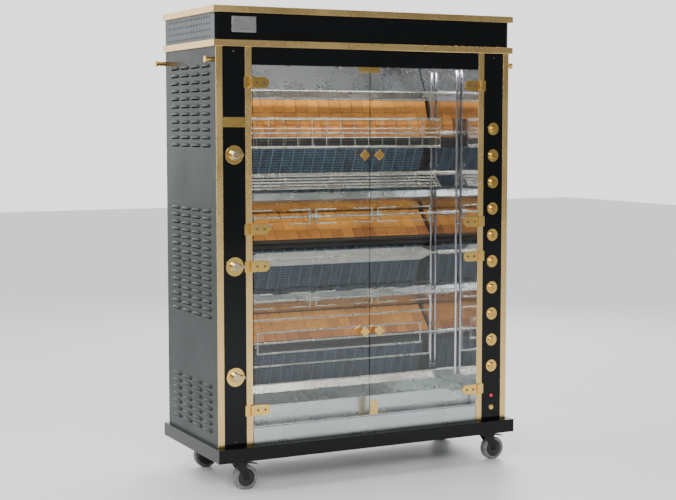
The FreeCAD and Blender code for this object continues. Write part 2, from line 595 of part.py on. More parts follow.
def door_hardware():
    """Hinge brackets with their pins, the two door catches and the side pegs."""
    pivot_x = OPENING + PIVOT_OUT
    brackets = []
    for z in hinge_levels("lower") + hinge_levels("upper"):
        half = STRAP_H / 2
        plate = box(OPENING + 0.5, OPENING + 0.5 + BRACKET_L, FRONT - BRACKET_T, FRONT, z - half, z + half)
        ears = []
        for low in (z - half, z + half - EAR_H):
            ears.append(rod(KNUCKLE_R, (pivot_x, PIVOT_Y, low), (pivot_x, PIVOT_Y, low + EAR_H)))
            ears.append(box(pivot_x - 4, pivot_x + 6, PIVOT_Y, FRONT - 1, low, low + EAR_H))
        pin = rod(PIN_R, (pivot_x, PIVOT_Y, z - half), (pivot_x, PIVOT_Y, z + half))
        brackets.append(fused(plate, pin, *ears))
    catch_back = GLASS_Y + GLASS_T
    panel_back = PANEL_Y + SHEET
    upper = fused(box(-CATCH_HALF, CATCH_HALF, catch_back + 1, panel_back + CATCH_T, HEADER_Z - CATCH_DROP,
                      HEADER_Z - GAP),
                  box(-CATCH_HALF, CATCH_HALF, panel_back, panel_back + CATCH_T, HEADER_Z - CATCH_DROP,
                      HEADER_Z + CATCH_RISE))
    near = catch_back + CATCH_T
    lower = fused(box(*LOW_CATCH, near, near + LOW_CATCH_T, CAVITY_FLOOR, CAVITY_FLOOR + LOW_CATCH_H),
                  box(*LOW_CATCH, near, near + LOW_CATCH_FOOT, CAVITY_FLOOR, CAVITY_FLOOR + LOW_CATCH_T))
    pegs = []
    for y, length in ((FRONT + PEG_IN, PEG_FRONT), (BACK - PEG_IN, PEG_REAR)):
        z = CORNICE_Z - PEG_DROP
        pegs.append(fused(rod(PEG_R, (HALF, y, z), (HALF + length - 6, y, z)),
                          rod(PEG_R + 4, (HALF + length - 6, y, z), (HALF + length, y, z))))
    return both_sides(brackets + pegs) + [upper, lower]


def grease_drawer():
    """Drawer with the stainless front under the doors."""
    x = OPENING - DOOR_SIDE_GAP / 2
    front = box(-x, x, FRONT, FRONT + SHEET, DRAWER_Z, DRAWER_TOP)
    inner = OPENING - DRAWER_SIDE
    z = DRAWER_Z + DRAWER_RISE
    body = tray(-inner, inner, FRONT + SHEET / 2, depth(DRAWER_DEPTH), z, z + DRAWER_TRAY_H, SHEET)
    return [fused(front, body)]


# Spits
def spit_core(z):
    """Round shaft with the plain tip, drive collar and drive end."""
    tip = rod(ROD_R, (-OPENING + 1, SPIT_Y, z), (-LOAD_HALF, SPIT_Y, z))
    collar = rod(COLLAR_R, (OPENING - BUSH_L / 2 - COLLAR_L, SPIT_Y, z), (OPENING - BUSH_L / 2 - GAP, SPIT_Y, z))
    neck = rod(ROD_R, (LOAD_HALF, SPIT_Y, z), (OPENING - BUSH_L / 2 - 1, SPIT_Y, z))
    drive = rod(DRIVE_R, (OPENING - BUSH_L / 2 - 1, SPIT_Y, z), (OPENING + WALL + DRIVE_OUT, SPIT_Y, z))
    return [tip, collar, neck, drive]


def through_rod(z):
    return rod(ROD_R, (-LOAD_HALF, SPIT_Y, z), (LOAD_HALF, SPIT_Y, z))


def angle_spit(z):
    """Spit whose middle is a steel angle, apex up."""
    s, t = ANGLE_SIDE / math.sqrt(2), BLADE_T * math.sqrt(2)
    outline = [(SPIT_Y, z + 4), (SPIT_Y + s, z + 4 - s), (SPIT_Y + s - t / 2, z + 4 - s - t / 2),
               (SPIT_Y, z + 4 - t), (SPIT_Y - s + t / 2, z + 4 - s - t / 2), (SPIT_Y - s, z + 4 - s)]
    return [fused(prism_x(outline, -LOAD_HALF, LOAD_HALF), through_rod(z), *spit_core(z))]


def blade_spit(z):
    """Spit with a broad flat blade and tapered ends."""
    half, slope = BLADE_H / 2, 60.0
    outline = [(-LOAD_HALF, z - 4), (-LOAD_HALF + slope, z - half), (LOAD_HALF - slope, z - half),
               (LOAD_HALF, z - 4), (LOAD_HALF, z + 4), (LOAD_HALF - slope, z + half),
               (-LOAD_HALF + slope, z + half), (-LOAD_HALF, z + 4)]
    blade = prism_y(outline, SPIT_Y - BLADE_T / 2, SPIT_Y + BLADE_T / 2)
    return [fused(blade, through_rod(z), *spit_core(z))]


def fork(x, z, reach):
    """Clamp hub with two prongs; reach is their signed length along X."""
    hub = rod(FORK_HUB_R, (x - FORK_HUB_HALF, SPIT_Y, z), (x + FORK_HUB_HALF, SPIT_Y, z))
    bar = rod(FORK_BAR_R, (x, SPIT_Y, z - PRONG_OFF), (x, SPIT_Y, z + PRONG_OFF))
    screw = rod(PRONG_R, (x, SPIT_Y, z), (x, SPIT_Y - PRONG_OFF, z))
    root = x - math.copysign(PRONG_R, reach)
    prongs = [rod(PRONG_R, (root, SPIT_Y, z + s * PRONG_OFF), (x + reach, SPIT_Y, z + s * PRONG_OFF))
              for s in (-1, 1)]
    return cut(fused(hub, bar, screw, *prongs), rod(ROD_R + RUN, (x - 20, SPIT_Y, z), (x + 20, SPIT_Y, z)))


def fork_spit(z):
    """Plain spit with three pairs of forks."""
    return [fused(through_rod(z), *spit_core(z))] + [fork(x, z, reach) for x, reach in FORK_PLACES]


def hub_disc(x, z):
    return rod(HUB_R, (x - 8, SPIT_Y, z), (x + 8, SPIT_Y, z))


def rack_spit(z):
    """Spit that carries an outer and an inner wire hoop along its whole length."""
    wires = []
    for radius, x in ((RACK_R, LOAD_HALF - 12), (RACK_INNER, LOAD_HALF - 60)):
        for s in (-1, 1):
            wires.append(rod(RACK_WIRE_R, (-x - 5, SPIT_Y, z + s * radius), (x + 5, SPIT_Y, z + s * radius)))
            wires.append(rod(RACK_WIRE_R - 0.8, (s * x, SPIT_Y, z - radius), (s * x, SPIT_Y, z + radius)))
    for s in (-1, 1):
        x = s * (LOAD_HALF - 12)
        wires += [hub_disc(x, z), rod(2.5, (x, SPIT_Y - 90, z), (x, SPIT_Y + 60, z))]
    return [fused(through_rod(z), *spit_core(z), *wires)]


def grille(y0, z0, y1, z1, bars, crosses):
    """Flat wire grille along X between two edges, crossed by straight wires."""
    wires = []
    for i in range(bars + 1):
        y, z = y0 + (y1 - y0) * i / bars, z0 + (z1 - z0) * i / bars
        wires.append(rod(WIRE_R, (-LOAD_HALF, y, z), (LOAD_HALF, y, z)))
    for i in range(crosses):
        x = -LOAD_HALF + 20 + (2 * LOAD_HALF - 40) * i / (crosses - 1)
        wires.append(rod(CROSS_R, (x, y0, z0), (x, y1, z1)))
    return fused(*wires)


def basket_spit(z):
    """Square wire basket: four grilles, two end plates and clamp hubs on the shaft."""
    h, d, edge = BASKET_H / 2, BASKET_D / 2, 2 * WIRE_R + 0.5
    sides = [grille(SPIT_Y - d + edge, z + h, SPIT_Y + d - edge, z + h, 4, 14),
             grille(SPIT_Y - d + edge, z - h, SPIT_Y + d - edge, z - h, 4, 14),
             grille(SPIT_Y - d, z - h + edge, SPIT_Y - d, z + h - edge, 3, 14),
             grille(SPIT_Y + d, z - h + edge, SPIT_Y + d, z + h - edge, 3, 14)]
    near, far, hub = LOAD_HALF + END_GAP, LOAD_HALF + END_T, LOAD_HALF + HUB_OUT
    ends = [fused(box(s * near, s * far, SPIT_Y - d - 2, SPIT_Y + d + 2, z - h - 2, z + h + 2),
                  rod(HUB_R, (s * (far - 1), SPIT_Y, z), (s * hub, SPIT_Y, z)))
            for s in (-1, 1)]
    bore = rod(ROD_R + RUN, (-OPENING, SPIT_Y, z), (OPENING, SPIT_Y, z))
    return [fused(through_rod(z), *spit_core(z))] + [e.cut(bore) for e in ends] + sides


def end_bar(x0, x1, y, z, dy, dz):
    """Flat bar in an end plate, from the shaft to an offset in Y and Z."""
    length = math.hypot(dy, dz)
    side_y, side_z = -dz / length * 4, dy / length * 4
    return prism_x([(y + side_y, z + side_z), (y + dy + side_y, z + dz + side_z),
                    (y + dy - side_y, z + dz - side_z), (y - side_y, z - side_z)], x0, x1)


def cradle_spit(z):
    """V-shaped wire cradle: two grilles between X-shaped end plates on the shaft."""
    s = CRADLE_SIDE / math.sqrt(2)
    off = ROD_R + WIRE_R + 3
    flat = grille(SPIT_Y + 4, z + off, SPIT_Y + CRADLE_SIDE, z + off, 5, 12)
    right_leaf = flat.rotated(V(0, SPIT_Y, z + off), V(1, 0, 0), -45)
    leaves = [right_leaf, right_leaf.mirror(V(0, SPIT_Y, 0), V(0, 1, 0))]
    bore = rod(ROD_R + RUN, (-OPENING, SPIT_Y, z), (OPENING, SPIT_Y, z))
    ends = []
    for side in (-1, 1):
        x0, x1 = side * (LOAD_HALF + END_GAP), side * (LOAD_HALF + END_T)
        bars = [end_bar(x0, x1, SPIT_Y, z, sign * dy, dz) for sign in (-1, 1)
                for dy, dz in ((s + 4, off - s - 4), (34, 36))]
        hub = rod(HUB_R, (x0, SPIT_Y, z), (side * (LOAD_HALF + HUB_OUT), SPIT_Y, z))
        ends.append(fused(hub, *bars).cut(bore))
    return [fused(through_rod(z), *spit_core(z))] + ends + leaves


SPIT_KINDS = [angle_spit, basket_spit, cradle_spit, fork_spit, blade_spit, fork_spit, rack_spit, angle_spit]


def spit_supports():
    """Flanged bushes in both cavity walls and the upright guard rods beside them."""
    solids = []
    for z in SPIT_Z:
        left = rod(BUSH_R, (-OPENING - WALL - 4, SPIT_Y, z), (-OPENING + BUSH_L, SPIT_Y, z))
        right = rod(BUSH_R, (OPENING - BUSH_L / 2, SPIT_Y, z), (OPENING + WALL, SPIT_Y, z))
        solids.append(cut(left, rod(ROD_R + RUN, (-OPENING - 2, SPIT_Y, z), (-OPENING + 30, SPIT_Y, z))))
        solids.append(cut(right, rod(DRIVE_R + RUN, (OPENING - 30, SPIT_Y, z), (OPENING + 30, SPIT_Y, z))))
    low, high = PAN_RIM + GUARD_END_LOW, CAVITY_TOP - GUARD_END_TOP
    for side in (-1, 1):
        for behind in GUARD_DEPTHS:
            x, y = side * (OPENING - GUARD_OUT - GUARD_R / 2), depth(behind)
            upright = rod(GUARD_R, (x, y, low), (x, y, high))
            feet = [rod(GUARD_FOOT_R, (x, y, z), (side * OPENING, y, z)) for z in (low + 12, (low + high) / 2, high - 12)]
            solids.append(fused(upright, *feet))
    return solids


def spit_motors():
    """Gear motor outside the right cavity wall for each spit."""
    solids = []
    for z in SPIT_Z:
        x = OPENING + WALL
        gearbox = box(x, x + GEARBOX_X, SPIT_Y - GEARBOX_HALF, SPIT_Y + GEARBOX_HALF,
                      z - GEARBOX_H / 2, z + GEARBOX_H / 2)
        axis = z - MOTOR_DROP
        motor = rod(MOTOR_R, (x + GEARBOX_X - 1, SPIT_Y, axis), (x + GEARBOX_X + MOTOR_L, SPIT_Y, axis))
        socket = rod(DRIVE_R + RUN, (x - 1, SPIT_Y, z), (x + DRIVE_OUT + 2, SPIT_Y, z))
        solids.append(cut(fused(gearbox, motor), socket))
    return solids


# Controls
def rosettes():
    """Brass plates behind the knobs, button bezel and blank nameplate."""
    y0, y1 = PANEL_Y - PLATE_THICK, PANEL_Y
    x = -CONTROL_X
    solids = []
    for drop in GAS_KNOB_DROPS:
        z = CORNICE_Z - drop
        solids.append(cut(rod(GAS_PLATE_R, (x, y0, z), (x, y1, z)), rod(SHAFT_R + 1, (x, y0 - 1, z), (x, y1 + 1, z))))
    for drop in switch_drops():
        z = CORNICE_Z - drop
        solids.append(cut(rod(SWITCH_PLATE_R, (-x, y0, z), (-x, y1, z)),
                          rod(SHAFT_R + 1, (-x, y0 - 1, z), (-x, y1 + 1, z))))
    z = CORNICE_Z - BUTTON_DROP
    solids.append(cut(rod(BUTTON_R + 4, (-x, y0 - 2, z), (-x, y1, z)),
                      rod(BUTTON_R + 0.1, (-x, y0 - 3, z), (-x, y1 + 1, z))))
    z = CORNICE_Z - NAMEPLATE_DROP
    solids.append(box(x - NAMEPLATE_W / 2, x + NAMEPLATE_W / 2, PANEL_Y - 1.5, PANEL_Y,
                      z - NAMEPLATE_H / 2, z + NAMEPLATE_H / 2))
    return solids


def gas_knob(z):
    """Knob with a lever to one side, on a shaft into the gas valve."""
    x, y = -CONTROL_X, PANEL_Y - PLATE_THICK - GAP
    skirt = rod(GAS_KNOB_R, (x, y, z), (x, y - 8, z))
    dome = rod(GAS_KNOB_R - 4, (x, y - 8, z), (x, y - GAS_KNOB_L, z))
    dome = dome.makeFillet(4, [e for e in dome.Edges if abs(e.BoundBox.YMax - (y - GAS_KNOB_L)) < 0.01])
    lever = box(x, x + LEVER_L, y - 18, y - 6, z - 6, z + 6)
    shaft = rod(SHAFT_R, (x, y, z), (x, VALVE_Y + 24, z))
    return [fused(skirt, dome, lever, shaft)]


def switch_knob(z):
    """Small round knob with a finger bar, on a shaft into its switch behind the panel."""
    x, y = CONTROL_X, PANEL_Y - PLATE_THICK - GAP
    base = rod(SWITCH_KNOB_R, (x, y, z), (x, y - 9, z))
    bar = box(x - 4, x + 4, y - SWITCH_KNOB_L, y - 8, z - SWITCH_KNOB_R + 1, z + SWITCH_KNOB_R - 1)
    shaft = rod(SHAFT_R, (x, y, z), (x, VALVE_Y + 14, z))
    return [fused(base, bar, shaft)]


def push_button():
    """Sprung button in its bezel, with its stem behind the panel."""
    x, z = CONTROL_X, CORNICE_Z - BUTTON_DROP
    front = PANEL_Y - PLATE_THICK - 2 - BUTTON_TRAVEL - 1
    return [rod(BUTTON_R, (x, front, z), (x, PANEL_Y + SHEET + 6, z))]


def indicator_lamp():
    """Red pilot lens on the right control panel."""
    x, z = CONTROL_X, CORNICE_Z - LAMP_DROP
    lens = rod(LAMP_R, (x, PANEL_Y, z), (x, PANEL_Y - 6, z))
    return [lens.makeFillet(3, [e for e in lens.Edges if abs(e.BoundBox.YMax - (PANEL_Y - 6)) < 0.01])]


export("plinth", plinth())
export("side_panels", both_sides([side_panel()]))
export("back_and_roof_panels", back_and_roof())
export("front_panels", front_panels())
export("cornice_grilles", both_sides([cornice_grille()]))
export("brass_trim", brass_trim())
export("cavity_liner", cavity_liner())
export("drip_pan", drip_pan())
export("burner_boxes", burner_boxes())
export("firebricks", firebricks())
export("radiant_plates", radiant_plates())
export("deflectors", deflectors())
export("gas_train", gas_train())
export("door_hardware", door_hardware())
export("spit_supports", spit_supports())
export("spit_motors", spit_motors())
export("rosettes", rosettes())
export("indicator_lamp", indicator_lamp())
export("castor_plates", [s for _, x, y in castor_places() for s in castor_plate(x, y)])
export("grease_drawer", grease_drawer())
export("push_button", push_button())
for name, x, y in castor_places():
    fork_solids = castor_fork(x, y)
    if name.startswith("front"):
        fork_solids = [fused(*fork_solids, *pedal_pin(x, y))]
        export("brake_pedal_" + name, brake_pedal(x, y))
    export("castor_fork_" + name, fork_solids)
    export("castor_wheel_" + name, castor_wheel(x, y))
for level in ("upper", "lower"):
    for side in SIDES:
        turn = mirrored if side == "left" else (lambda shape: shape)
        export("glass_" + level + "_" + side, [turn(door_glass(level))])
        export("fittings_" + level + "_" + side, [turn(s) for s in door_fittings(level)])
for label, drop in zip(("upper", "middle", "lower"), GAS_KNOB_DROPS):
    export("gas_knob_" + label, gas_knob(CORNICE_Z - drop))
for number, drop in enumerate(switch_drops(), 1):
    export("switch_knob_%02d" % number, switch_knob(CORNICE_Z - drop))
for number, (kind, z) in enumerate(zip(SPIT_KINDS, SPIT_Z), 1):
    export("spit_%d" % number, kind(z))
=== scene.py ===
import json
import math
import random

import bpy
from mathutils import Matrix, Vector

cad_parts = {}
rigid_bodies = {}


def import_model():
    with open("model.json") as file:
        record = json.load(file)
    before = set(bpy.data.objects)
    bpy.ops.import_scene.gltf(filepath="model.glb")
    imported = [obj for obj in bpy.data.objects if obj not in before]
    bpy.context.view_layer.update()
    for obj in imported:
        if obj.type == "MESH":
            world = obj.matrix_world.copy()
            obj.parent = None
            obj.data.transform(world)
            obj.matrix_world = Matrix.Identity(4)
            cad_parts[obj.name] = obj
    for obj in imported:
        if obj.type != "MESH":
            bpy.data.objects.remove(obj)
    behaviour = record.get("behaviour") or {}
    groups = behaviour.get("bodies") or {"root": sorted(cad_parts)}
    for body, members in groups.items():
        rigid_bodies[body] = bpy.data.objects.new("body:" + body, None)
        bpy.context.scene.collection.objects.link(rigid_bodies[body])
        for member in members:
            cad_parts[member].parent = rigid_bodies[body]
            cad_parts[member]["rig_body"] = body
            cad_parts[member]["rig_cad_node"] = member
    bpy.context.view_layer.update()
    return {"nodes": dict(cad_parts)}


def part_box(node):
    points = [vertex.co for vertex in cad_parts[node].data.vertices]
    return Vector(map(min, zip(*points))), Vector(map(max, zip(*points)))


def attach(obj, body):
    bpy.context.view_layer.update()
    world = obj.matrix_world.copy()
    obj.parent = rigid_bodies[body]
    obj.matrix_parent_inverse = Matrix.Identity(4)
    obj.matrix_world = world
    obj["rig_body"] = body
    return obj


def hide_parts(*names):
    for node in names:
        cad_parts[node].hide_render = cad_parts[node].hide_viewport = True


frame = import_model()
nodes = frame["nodes"]

# ---------------------------------------------------------------------------
# Studio. The oven stands on a pale floor and is seen from its left front,
# from just below shoulder height, with a medium telephoto lens.
# ---------------------------------------------------------------------------
bpy.ops.object.select_all(action="DESELECT")
EYE = Vector((-2.796, -5.492, 1.455))
TILT_DOWN = math.radians(4.9)
TURN = math.radians(26.9)
LENS, SENSOR = 76.3, 36.0
bpy.ops.object.camera_add(location=EYE, rotation=(math.pi / 2 - TILT_DOWN, 0, -TURN))
camera = bpy.context.object
camera.data.lens = LENS
camera.data.sensor_width = SENSOR
camera.data.clip_end = 60
bpy.context.scene.camera = camera

bpy.ops.mesh.primitive_plane_add(size=30, location=(0, 4, 0))
floor = bpy.context.object
floor.name = "studio_floor"

world = bpy.data.worlds.new("studio_air")
bpy.context.scene.world = world
world.use_nodes = True
air = world.node_tree
backdrop = air.nodes["Background"]
backdrop.inputs["Color"].default_value = (0.96, 0.97, 0.98, 1)
direction = air.nodes.new("ShaderNodeSeparateXYZ")
air.links.new(air.nodes.new("ShaderNodeTexCoord").outputs["Generated"], direction.inputs["Vector"])
brightness = air.nodes.new("ShaderNodeMapRange")
for key, number in (("From Min", -0.35), ("From Max", 0.35), ("To Min", 0.22), ("To Max", 2.0)):
    brightness.inputs[key].default_value = number
air.links.new(direction.outputs["Y"], brightness.inputs["Value"])
air.links.new(brightness.outputs["Result"], backdrop.inputs["Strength"])


def softbox(name, place, aim, width, height, power, seen=True):
    """Rectangular soft light that faces a point; one not seen shows in no reflection either."""
    bpy.ops.object.light_add(type="AREA", location=place)
    lamp = bpy.context.object
    lamp.name = name
    lamp.rotation_euler = (Vector(aim) - Vector(place)).to_track_quat("-Z", "Y").to_euler()
    lamp.data.shape = "RECTANGLE"
    lamp.data.size, lamp.data.size_y = width, height
    lamp.data.energy = power
    if not seen:
        lamp.visible_camera = lamp.visible_glossy = False


softbox("key_light", (-3.6, -3.8, 3.4), (0, 0, 1.0), 1.6, 1.6, 150)
softbox("front_light", (-1.2, -5.6, 3.4), (0, 0, 0.9), 1.6, 1.2, 170)
softbox("side_light", (-4.5, 0.8, 2.0), (0, 0, 1.0), 1.6, 2.4, 60)
softbox("back_light", (2.5, 3.8, 3.0), (0, 0, 1.0), 2.0, 2.0, 120)
softbox("roof_lamp", (0, -0.235, 1.70), (0, 0.3, 1.1), 0.96, 0.03, 4.5)
softbox("door_post_lamp", (-0.50, -0.235, 1.0), (0.2, 0.3, 0.95), 0.03, 1.1, 3, seen=False)


# ---------------------------------------------------------------------------
# Front panels, back and roof. Folded sheet steel in baked black enamel, rubbed
# a little at its edges and wiped to a faint cloudy film. The folds have small
# radii, so each piece is a welded copy of its part with rounded edges.
# ---------------------------------------------------------------------------
def node_group(name, inputs, outputs):
    """Empty shader group with value inputs and named outputs."""
    tree = bpy.data.node_groups.new(name, "ShaderNodeTree")
    for label, value in inputs:
        socket = tree.interface.new_socket(label, in_out="INPUT", socket_type="NodeSocketFloat")
        socket.default_value = value
    for label, kind in outputs:
        tree.interface.new_socket(label, in_out="OUTPUT", socket_type="NodeSocket" + kind)
    return tree, tree.nodes.new("NodeGroupInput"), tree.nodes.new("NodeGroupOutput")


def place(tree, kind, **settings):
    """Adds a node and sets its properties."""
    node = tree.nodes.new("ShaderNode" + kind)
    for key, value in settings.items():
        setattr(node, key, value)
    return node


def maths(tree, operation, a, b=None):
    """Adds a Math node; each operand is a number or a socket."""
    node = place(tree, "Math", operation=operation)
    for index, value in enumerate((a, b)):
        if value is None:
            continue
        if isinstance(value, (int, float)):
            node.inputs[index].default_value = value
        else:
            tree.links.new(value, node.inputs[index])
    return node.outputs[0]


def ramp(tree, value, low, high, low_out=0.0, high_out=1.0):
    """Maps a value's range to another, clamped."""
    node = place(tree, "MapRange")
    tree.links.new(value, node.inputs["Value"])
    for key, number in (("From Min", low), ("From Max", high), ("To Min", low_out), ("To Max", high_out)):
        node.inputs[key].default_value = number
    return node.outputs["Result"]


def noise(tree, vector, scale, detail=3.0):
    """Noise between 0 and 1 along a vector."""
    node = place(tree, "TexNoise")
    node.inputs["Scale"].default_value = scale
    node.inputs["Detail"].default_value = detail
    tree.links.new(vector, node.inputs["Vector"])
    return node.outputs["Fac"]


def stretched(tree, factors):
    """Object coordinates, stretched by three factors."""
    coords = place(tree, "TexCoord")
    mapping = place(tree, "Mapping")
    mapping.inputs["Scale"].default_value = factors
    tree.links.new(coords.outputs["Object"], mapping.inputs["Vector"])
    return mapping.outputs["Vector"]


wear_tree, wear_in, wear_out = node_group("edge_wear", [("Amount", 0.5)], [("Mask", "Float")])
rounding = place(wear_tree, "Bevel", samples=4)
rounding.inputs["Radius"].default_value = 0.0016
facing = place(wear_tree, "VectorMath", operation="DOT_PRODUCT")
wear_tree.links.new(rounding.outputs["Normal"], facing.inputs[0])
wear_tree.links.new(place(wear_tree, "NewGeometry").outputs["True Normal"], facing.inputs[1])
edge = ramp(wear_tree, facing.outputs["Value"], 0.995, 0.93)
patch = ramp(wear_tree, noise(wear_tree, stretched(wear_tree, (1, 1, 1)), 38, 5), 0.45, 0.65)
wear_tree.links.new(maths(wear_tree, "MULTIPLY", maths(wear_tree, "MULTIPLY", edge, patch),
                          wear_in.outputs["Amount"]), wear_out.inputs["Mask"])

cloud_tree, cloud_in, cloud_out = node_group("cloudy_film", [("Low", 0.3), ("High", 0.5)],
                                             [("Value", "Float")])
cloud = noise(cloud_tree, stretched(cloud_tree, (1, 1, 1)), 5.5, 6)
fine = noise(cloud_tree, stretched(cloud_tree, (1, 1, 1)), 60, 2)
mixed = maths(cloud_tree, "ADD", maths(cloud_tree, "MULTIPLY", cloud, 0.75),
              maths(cloud_tree, "MULTIPLY", fine, 0.25))
spread = maths(cloud_tree, "SUBTRACT", cloud_in.outputs["High"], cloud_in.outputs["Low"])
above_low = maths(cloud_tree, "MULTIPLY", ramp(cloud_tree, mixed, 0.3, 0.7), spread)
cloud_value = maths(cloud_tree, "ADD", above_low, cloud_in.outputs["Low"])
cloud_tree.links.new(cloud_value, cloud_out.inputs["Value"])


def material(name, colour, roughness, metallic=0.0, coat=0.0):
    """Principled material with its plain values set on the shader."""
    made = bpy.data.materials.new(name)
    made.use_nodes = True
    shader = made.node_tree.nodes["Principled BSDF"]
    shader.inputs["Base Color"].default_value = (*colour, 1)
    shader.inputs["Roughness"].default_value = roughness
    shader.inputs["Metallic"].default_value = metallic
    shader.inputs["Coat Weight"].default_value = coat
    return made, made.node_tree, shader


def film(tree, shader, low, high):
    """Roughness that varies between two values like a handled, wiped surface."""
    group = place(tree, "Group", node_tree=cloud_tree)
    group.inputs["Low"].default_value, group.inputs["High"].default_value = low, high
    tree.links.new(group.outputs["Value"], shader.inputs["Roughness"])


def tint(tree, shader, mask, colour_a, colour_b):
    """Base colour mixed between two by a mask."""
    mix = place(tree, "Mix", data_type="RGBA")
    mix.inputs["A"].default_value, mix.inputs["B"].default_value = (*colour_a, 1), (*colour_b, 1)
    tree.links.new(mask, mix.inputs["Factor"])
    tree.links.new(mix.outputs["Result"], shader.inputs["Base Color"])
    return mix


def relief(tree, shader, height, strength, distance):
    """Bump from a height, in metres, on the shader's normal."""
    bump = place(tree, "Bump")
    bump.inputs["Strength"].default_value, bump.inputs["Distance"].default_value = strength, distance
    tree.links.new(height, bump.inputs["Height"])
    tree.links.new(bump.outputs["Normal"], shader.inputs["Normal"])


def worn(tree, amount):
    """Mask of the rubbed edges."""
    group = place(tree, "Group", node_tree=wear_tree)
    group.inputs["Amount"].default_value = amount
    return group.outputs["Mask"]


def enamel(name, colour, worn_colour, low, high, grain=0.00006, shine=0.4):
    """Baked enamel on sheet steel, a little orange-peeled, rubbed at its edges."""
    made, tree, shader = material(name, colour, 0.35)
    tint(tree, shader, worn(tree, 0.7), colour, worn_colour)
    film(tree, shader, low, high)
    shader.inputs["Specular IOR Level"].default_value = shine
    relief(tree, shader, noise(tree, stretched(tree, (1, 1, 1)), 260, 2), 0.12, grain)
    return made


black_enamel = enamel("black_enamel", (0.0035, 0.004, 0.0045), (0.06, 0.058, 0.052), 0.09, 0.16, shine=0.22)


def only(piece):
    """Makes one piece the selected, active object."""
    bpy.ops.object.select_all(action="DESELECT")
    piece.select_set(True)
    bpy.context.view_layer.objects.active = piece


def dressed(piece, finish, body="cabinet"):
    """Gives a finished piece its finish and its body."""
    piece.data.materials.clear()
    piece.data.materials.append(finish)
    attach(piece, body)


def flat_faces(piece):
    """Keeps large faces flat in shading, so that only the rounded edges turn."""
    piece.modifiers.new("flat_faces", "WEIGHTED_NORMAL").keep_sharp = True
    bpy.ops.object.modifier_apply(modifier="flat_faces")


def rounded(node, name, finish, width, segments=2, body="cabinet"):
    """Welded copy of a node with rounded edges, which stands for it."""
    piece = nodes[node].copy()
    piece.data = nodes[node].data.copy()
    piece.name = name
    piece.parent = None
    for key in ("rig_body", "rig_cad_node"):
        if key in piece:
            del piece[key]
    bpy.context.scene.collection.objects.link(piece)
    only(piece)
    bpy.ops.object.mode_set(mode="EDIT")
    bpy.ops.mesh.select_all(action="SELECT")
    bpy.ops.mesh.remove_doubles(threshold=0.00002)
    bpy.ops.mesh.dissolve_limited(angle_limit=math.radians(1.5))
    bpy.ops.object.mode_set(mode="OBJECT")
    soften = piece.modifiers.new("rounded_edges", "BEVEL")
    soften.width, soften.segments, soften.limit_method = width, segments, "ANGLE"
    soften.angle_limit = math.radians(38)
    soften.use_clamp_overlap = True
    bpy.ops.object.modifier_apply(modifier="rounded_edges")
    bpy.ops.object.shade_smooth_by_angle(angle=math.radians(35))
    flat_faces(piece)
    dressed(piece, finish, body)
    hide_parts(node)


rounded("front_panels", "black_panels", black_enamel, 0.0006)
rounded("back_and_roof_panels", "rear_sheets", black_enamel, 0.0005, 1)

# ---------------------------------------------------------------------------
# Drip pan and grease drawer. Folded stainless sheet, brushed along its width.
# The pan catches the fat under the spits and drains into the drawer.
# ---------------------------------------------------------------------------
def brushed(name, colour, dull, stretch, low, high, metallic=1.0):
    """Metal with fine lines along one axis and a faint cloudy film."""
    made, tree, shader = material(name, colour, 0.3, metallic)
    lines = noise(tree, stretched(tree, stretch), 9, 2)
    tint(tree, shader, ramp(tree, lines, 0.25, 0.75), colour, dull)
    film(tree, shader, low, high)
    relief(tree, shader, lines, 0.03, 0.0001)
    return made


along_x = (2, 90, 90)
sheet_steel = brushed("sheet_steel", (0.63, 0.66, 0.65), (0.52, 0.55, 0.55), along_x, 0.2, 0.36)
rounded("drip_pan", "drip_pan_tray", sheet_steel, 0.0006)
rounded("grease_drawer", "grease_drawer_tray", sheet_steel, 0.0006, body="drawer")

# ---------------------------------------------------------------------------
# Side panels and cornice grilles. Sheet steel with rows of louvre slots in dark
# enamel, and perforated grey sheets that let the hot air out at the sides.
# ---------------------------------------------------------------------------
def finish_node(node, finish):
    """Puts a finish on a node that keeps its designed shape."""
    mesh = nodes[node].data
    mesh.materials.clear()
    mesh.materials.append(finish)


side_enamel = enamel("side_enamel", (0.006, 0.0105, 0.0095), (0.06, 0.07, 0.066), 0.24, 0.38, 0.0001, 0.22)
grille_enamel = enamel("grille_enamel", (0.07, 0.082, 0.086), (0.3, 0.3, 0.3), 0.35, 0.5)
finish_node("side_panels", side_enamel)
finish_node("cornice_grilles", grille_enamel)

# ---------------------------------------------------------------------------
# Cavity liner. Polished stainless walls, roof and floor that mirror the spits,
# with the two rails that the drawer runs on.
# ---------------------------------------------------------------------------
along_z = (90, 90, 2)
mirror_steel = brushed("mirror_steel", (0.70, 0.68, 0.71), (0.62, 0.61, 0.64), along_z, 0.06, 0.13)
finish_node("cavity_liner", mirror_steel)

# ---------------------------------------------------------------------------
# Brass trim. Strips beside the control panels and two mouldings round the
# cornice, drawn from brass, with soft edges and lines along their length.
# ---------------------------------------------------------------------------
strip_brass = brushed("strip_brass", (0.93, 0.67, 0.29), (0.85, 0.57, 0.21), along_z, 0.2, 0.34)
rounded("brass_trim", "brass_strips_and_mouldings", strip_brass, 0.0018, 3)

# ---------------------------------------------------------------------------
# Hood and deflectors. Folded stainless sheets above and between the burners
# that turn the heat forward.
# ---------------------------------------------------------------------------
rounded("deflectors", "hood_and_deflectors", sheet_steel, 0.0006)

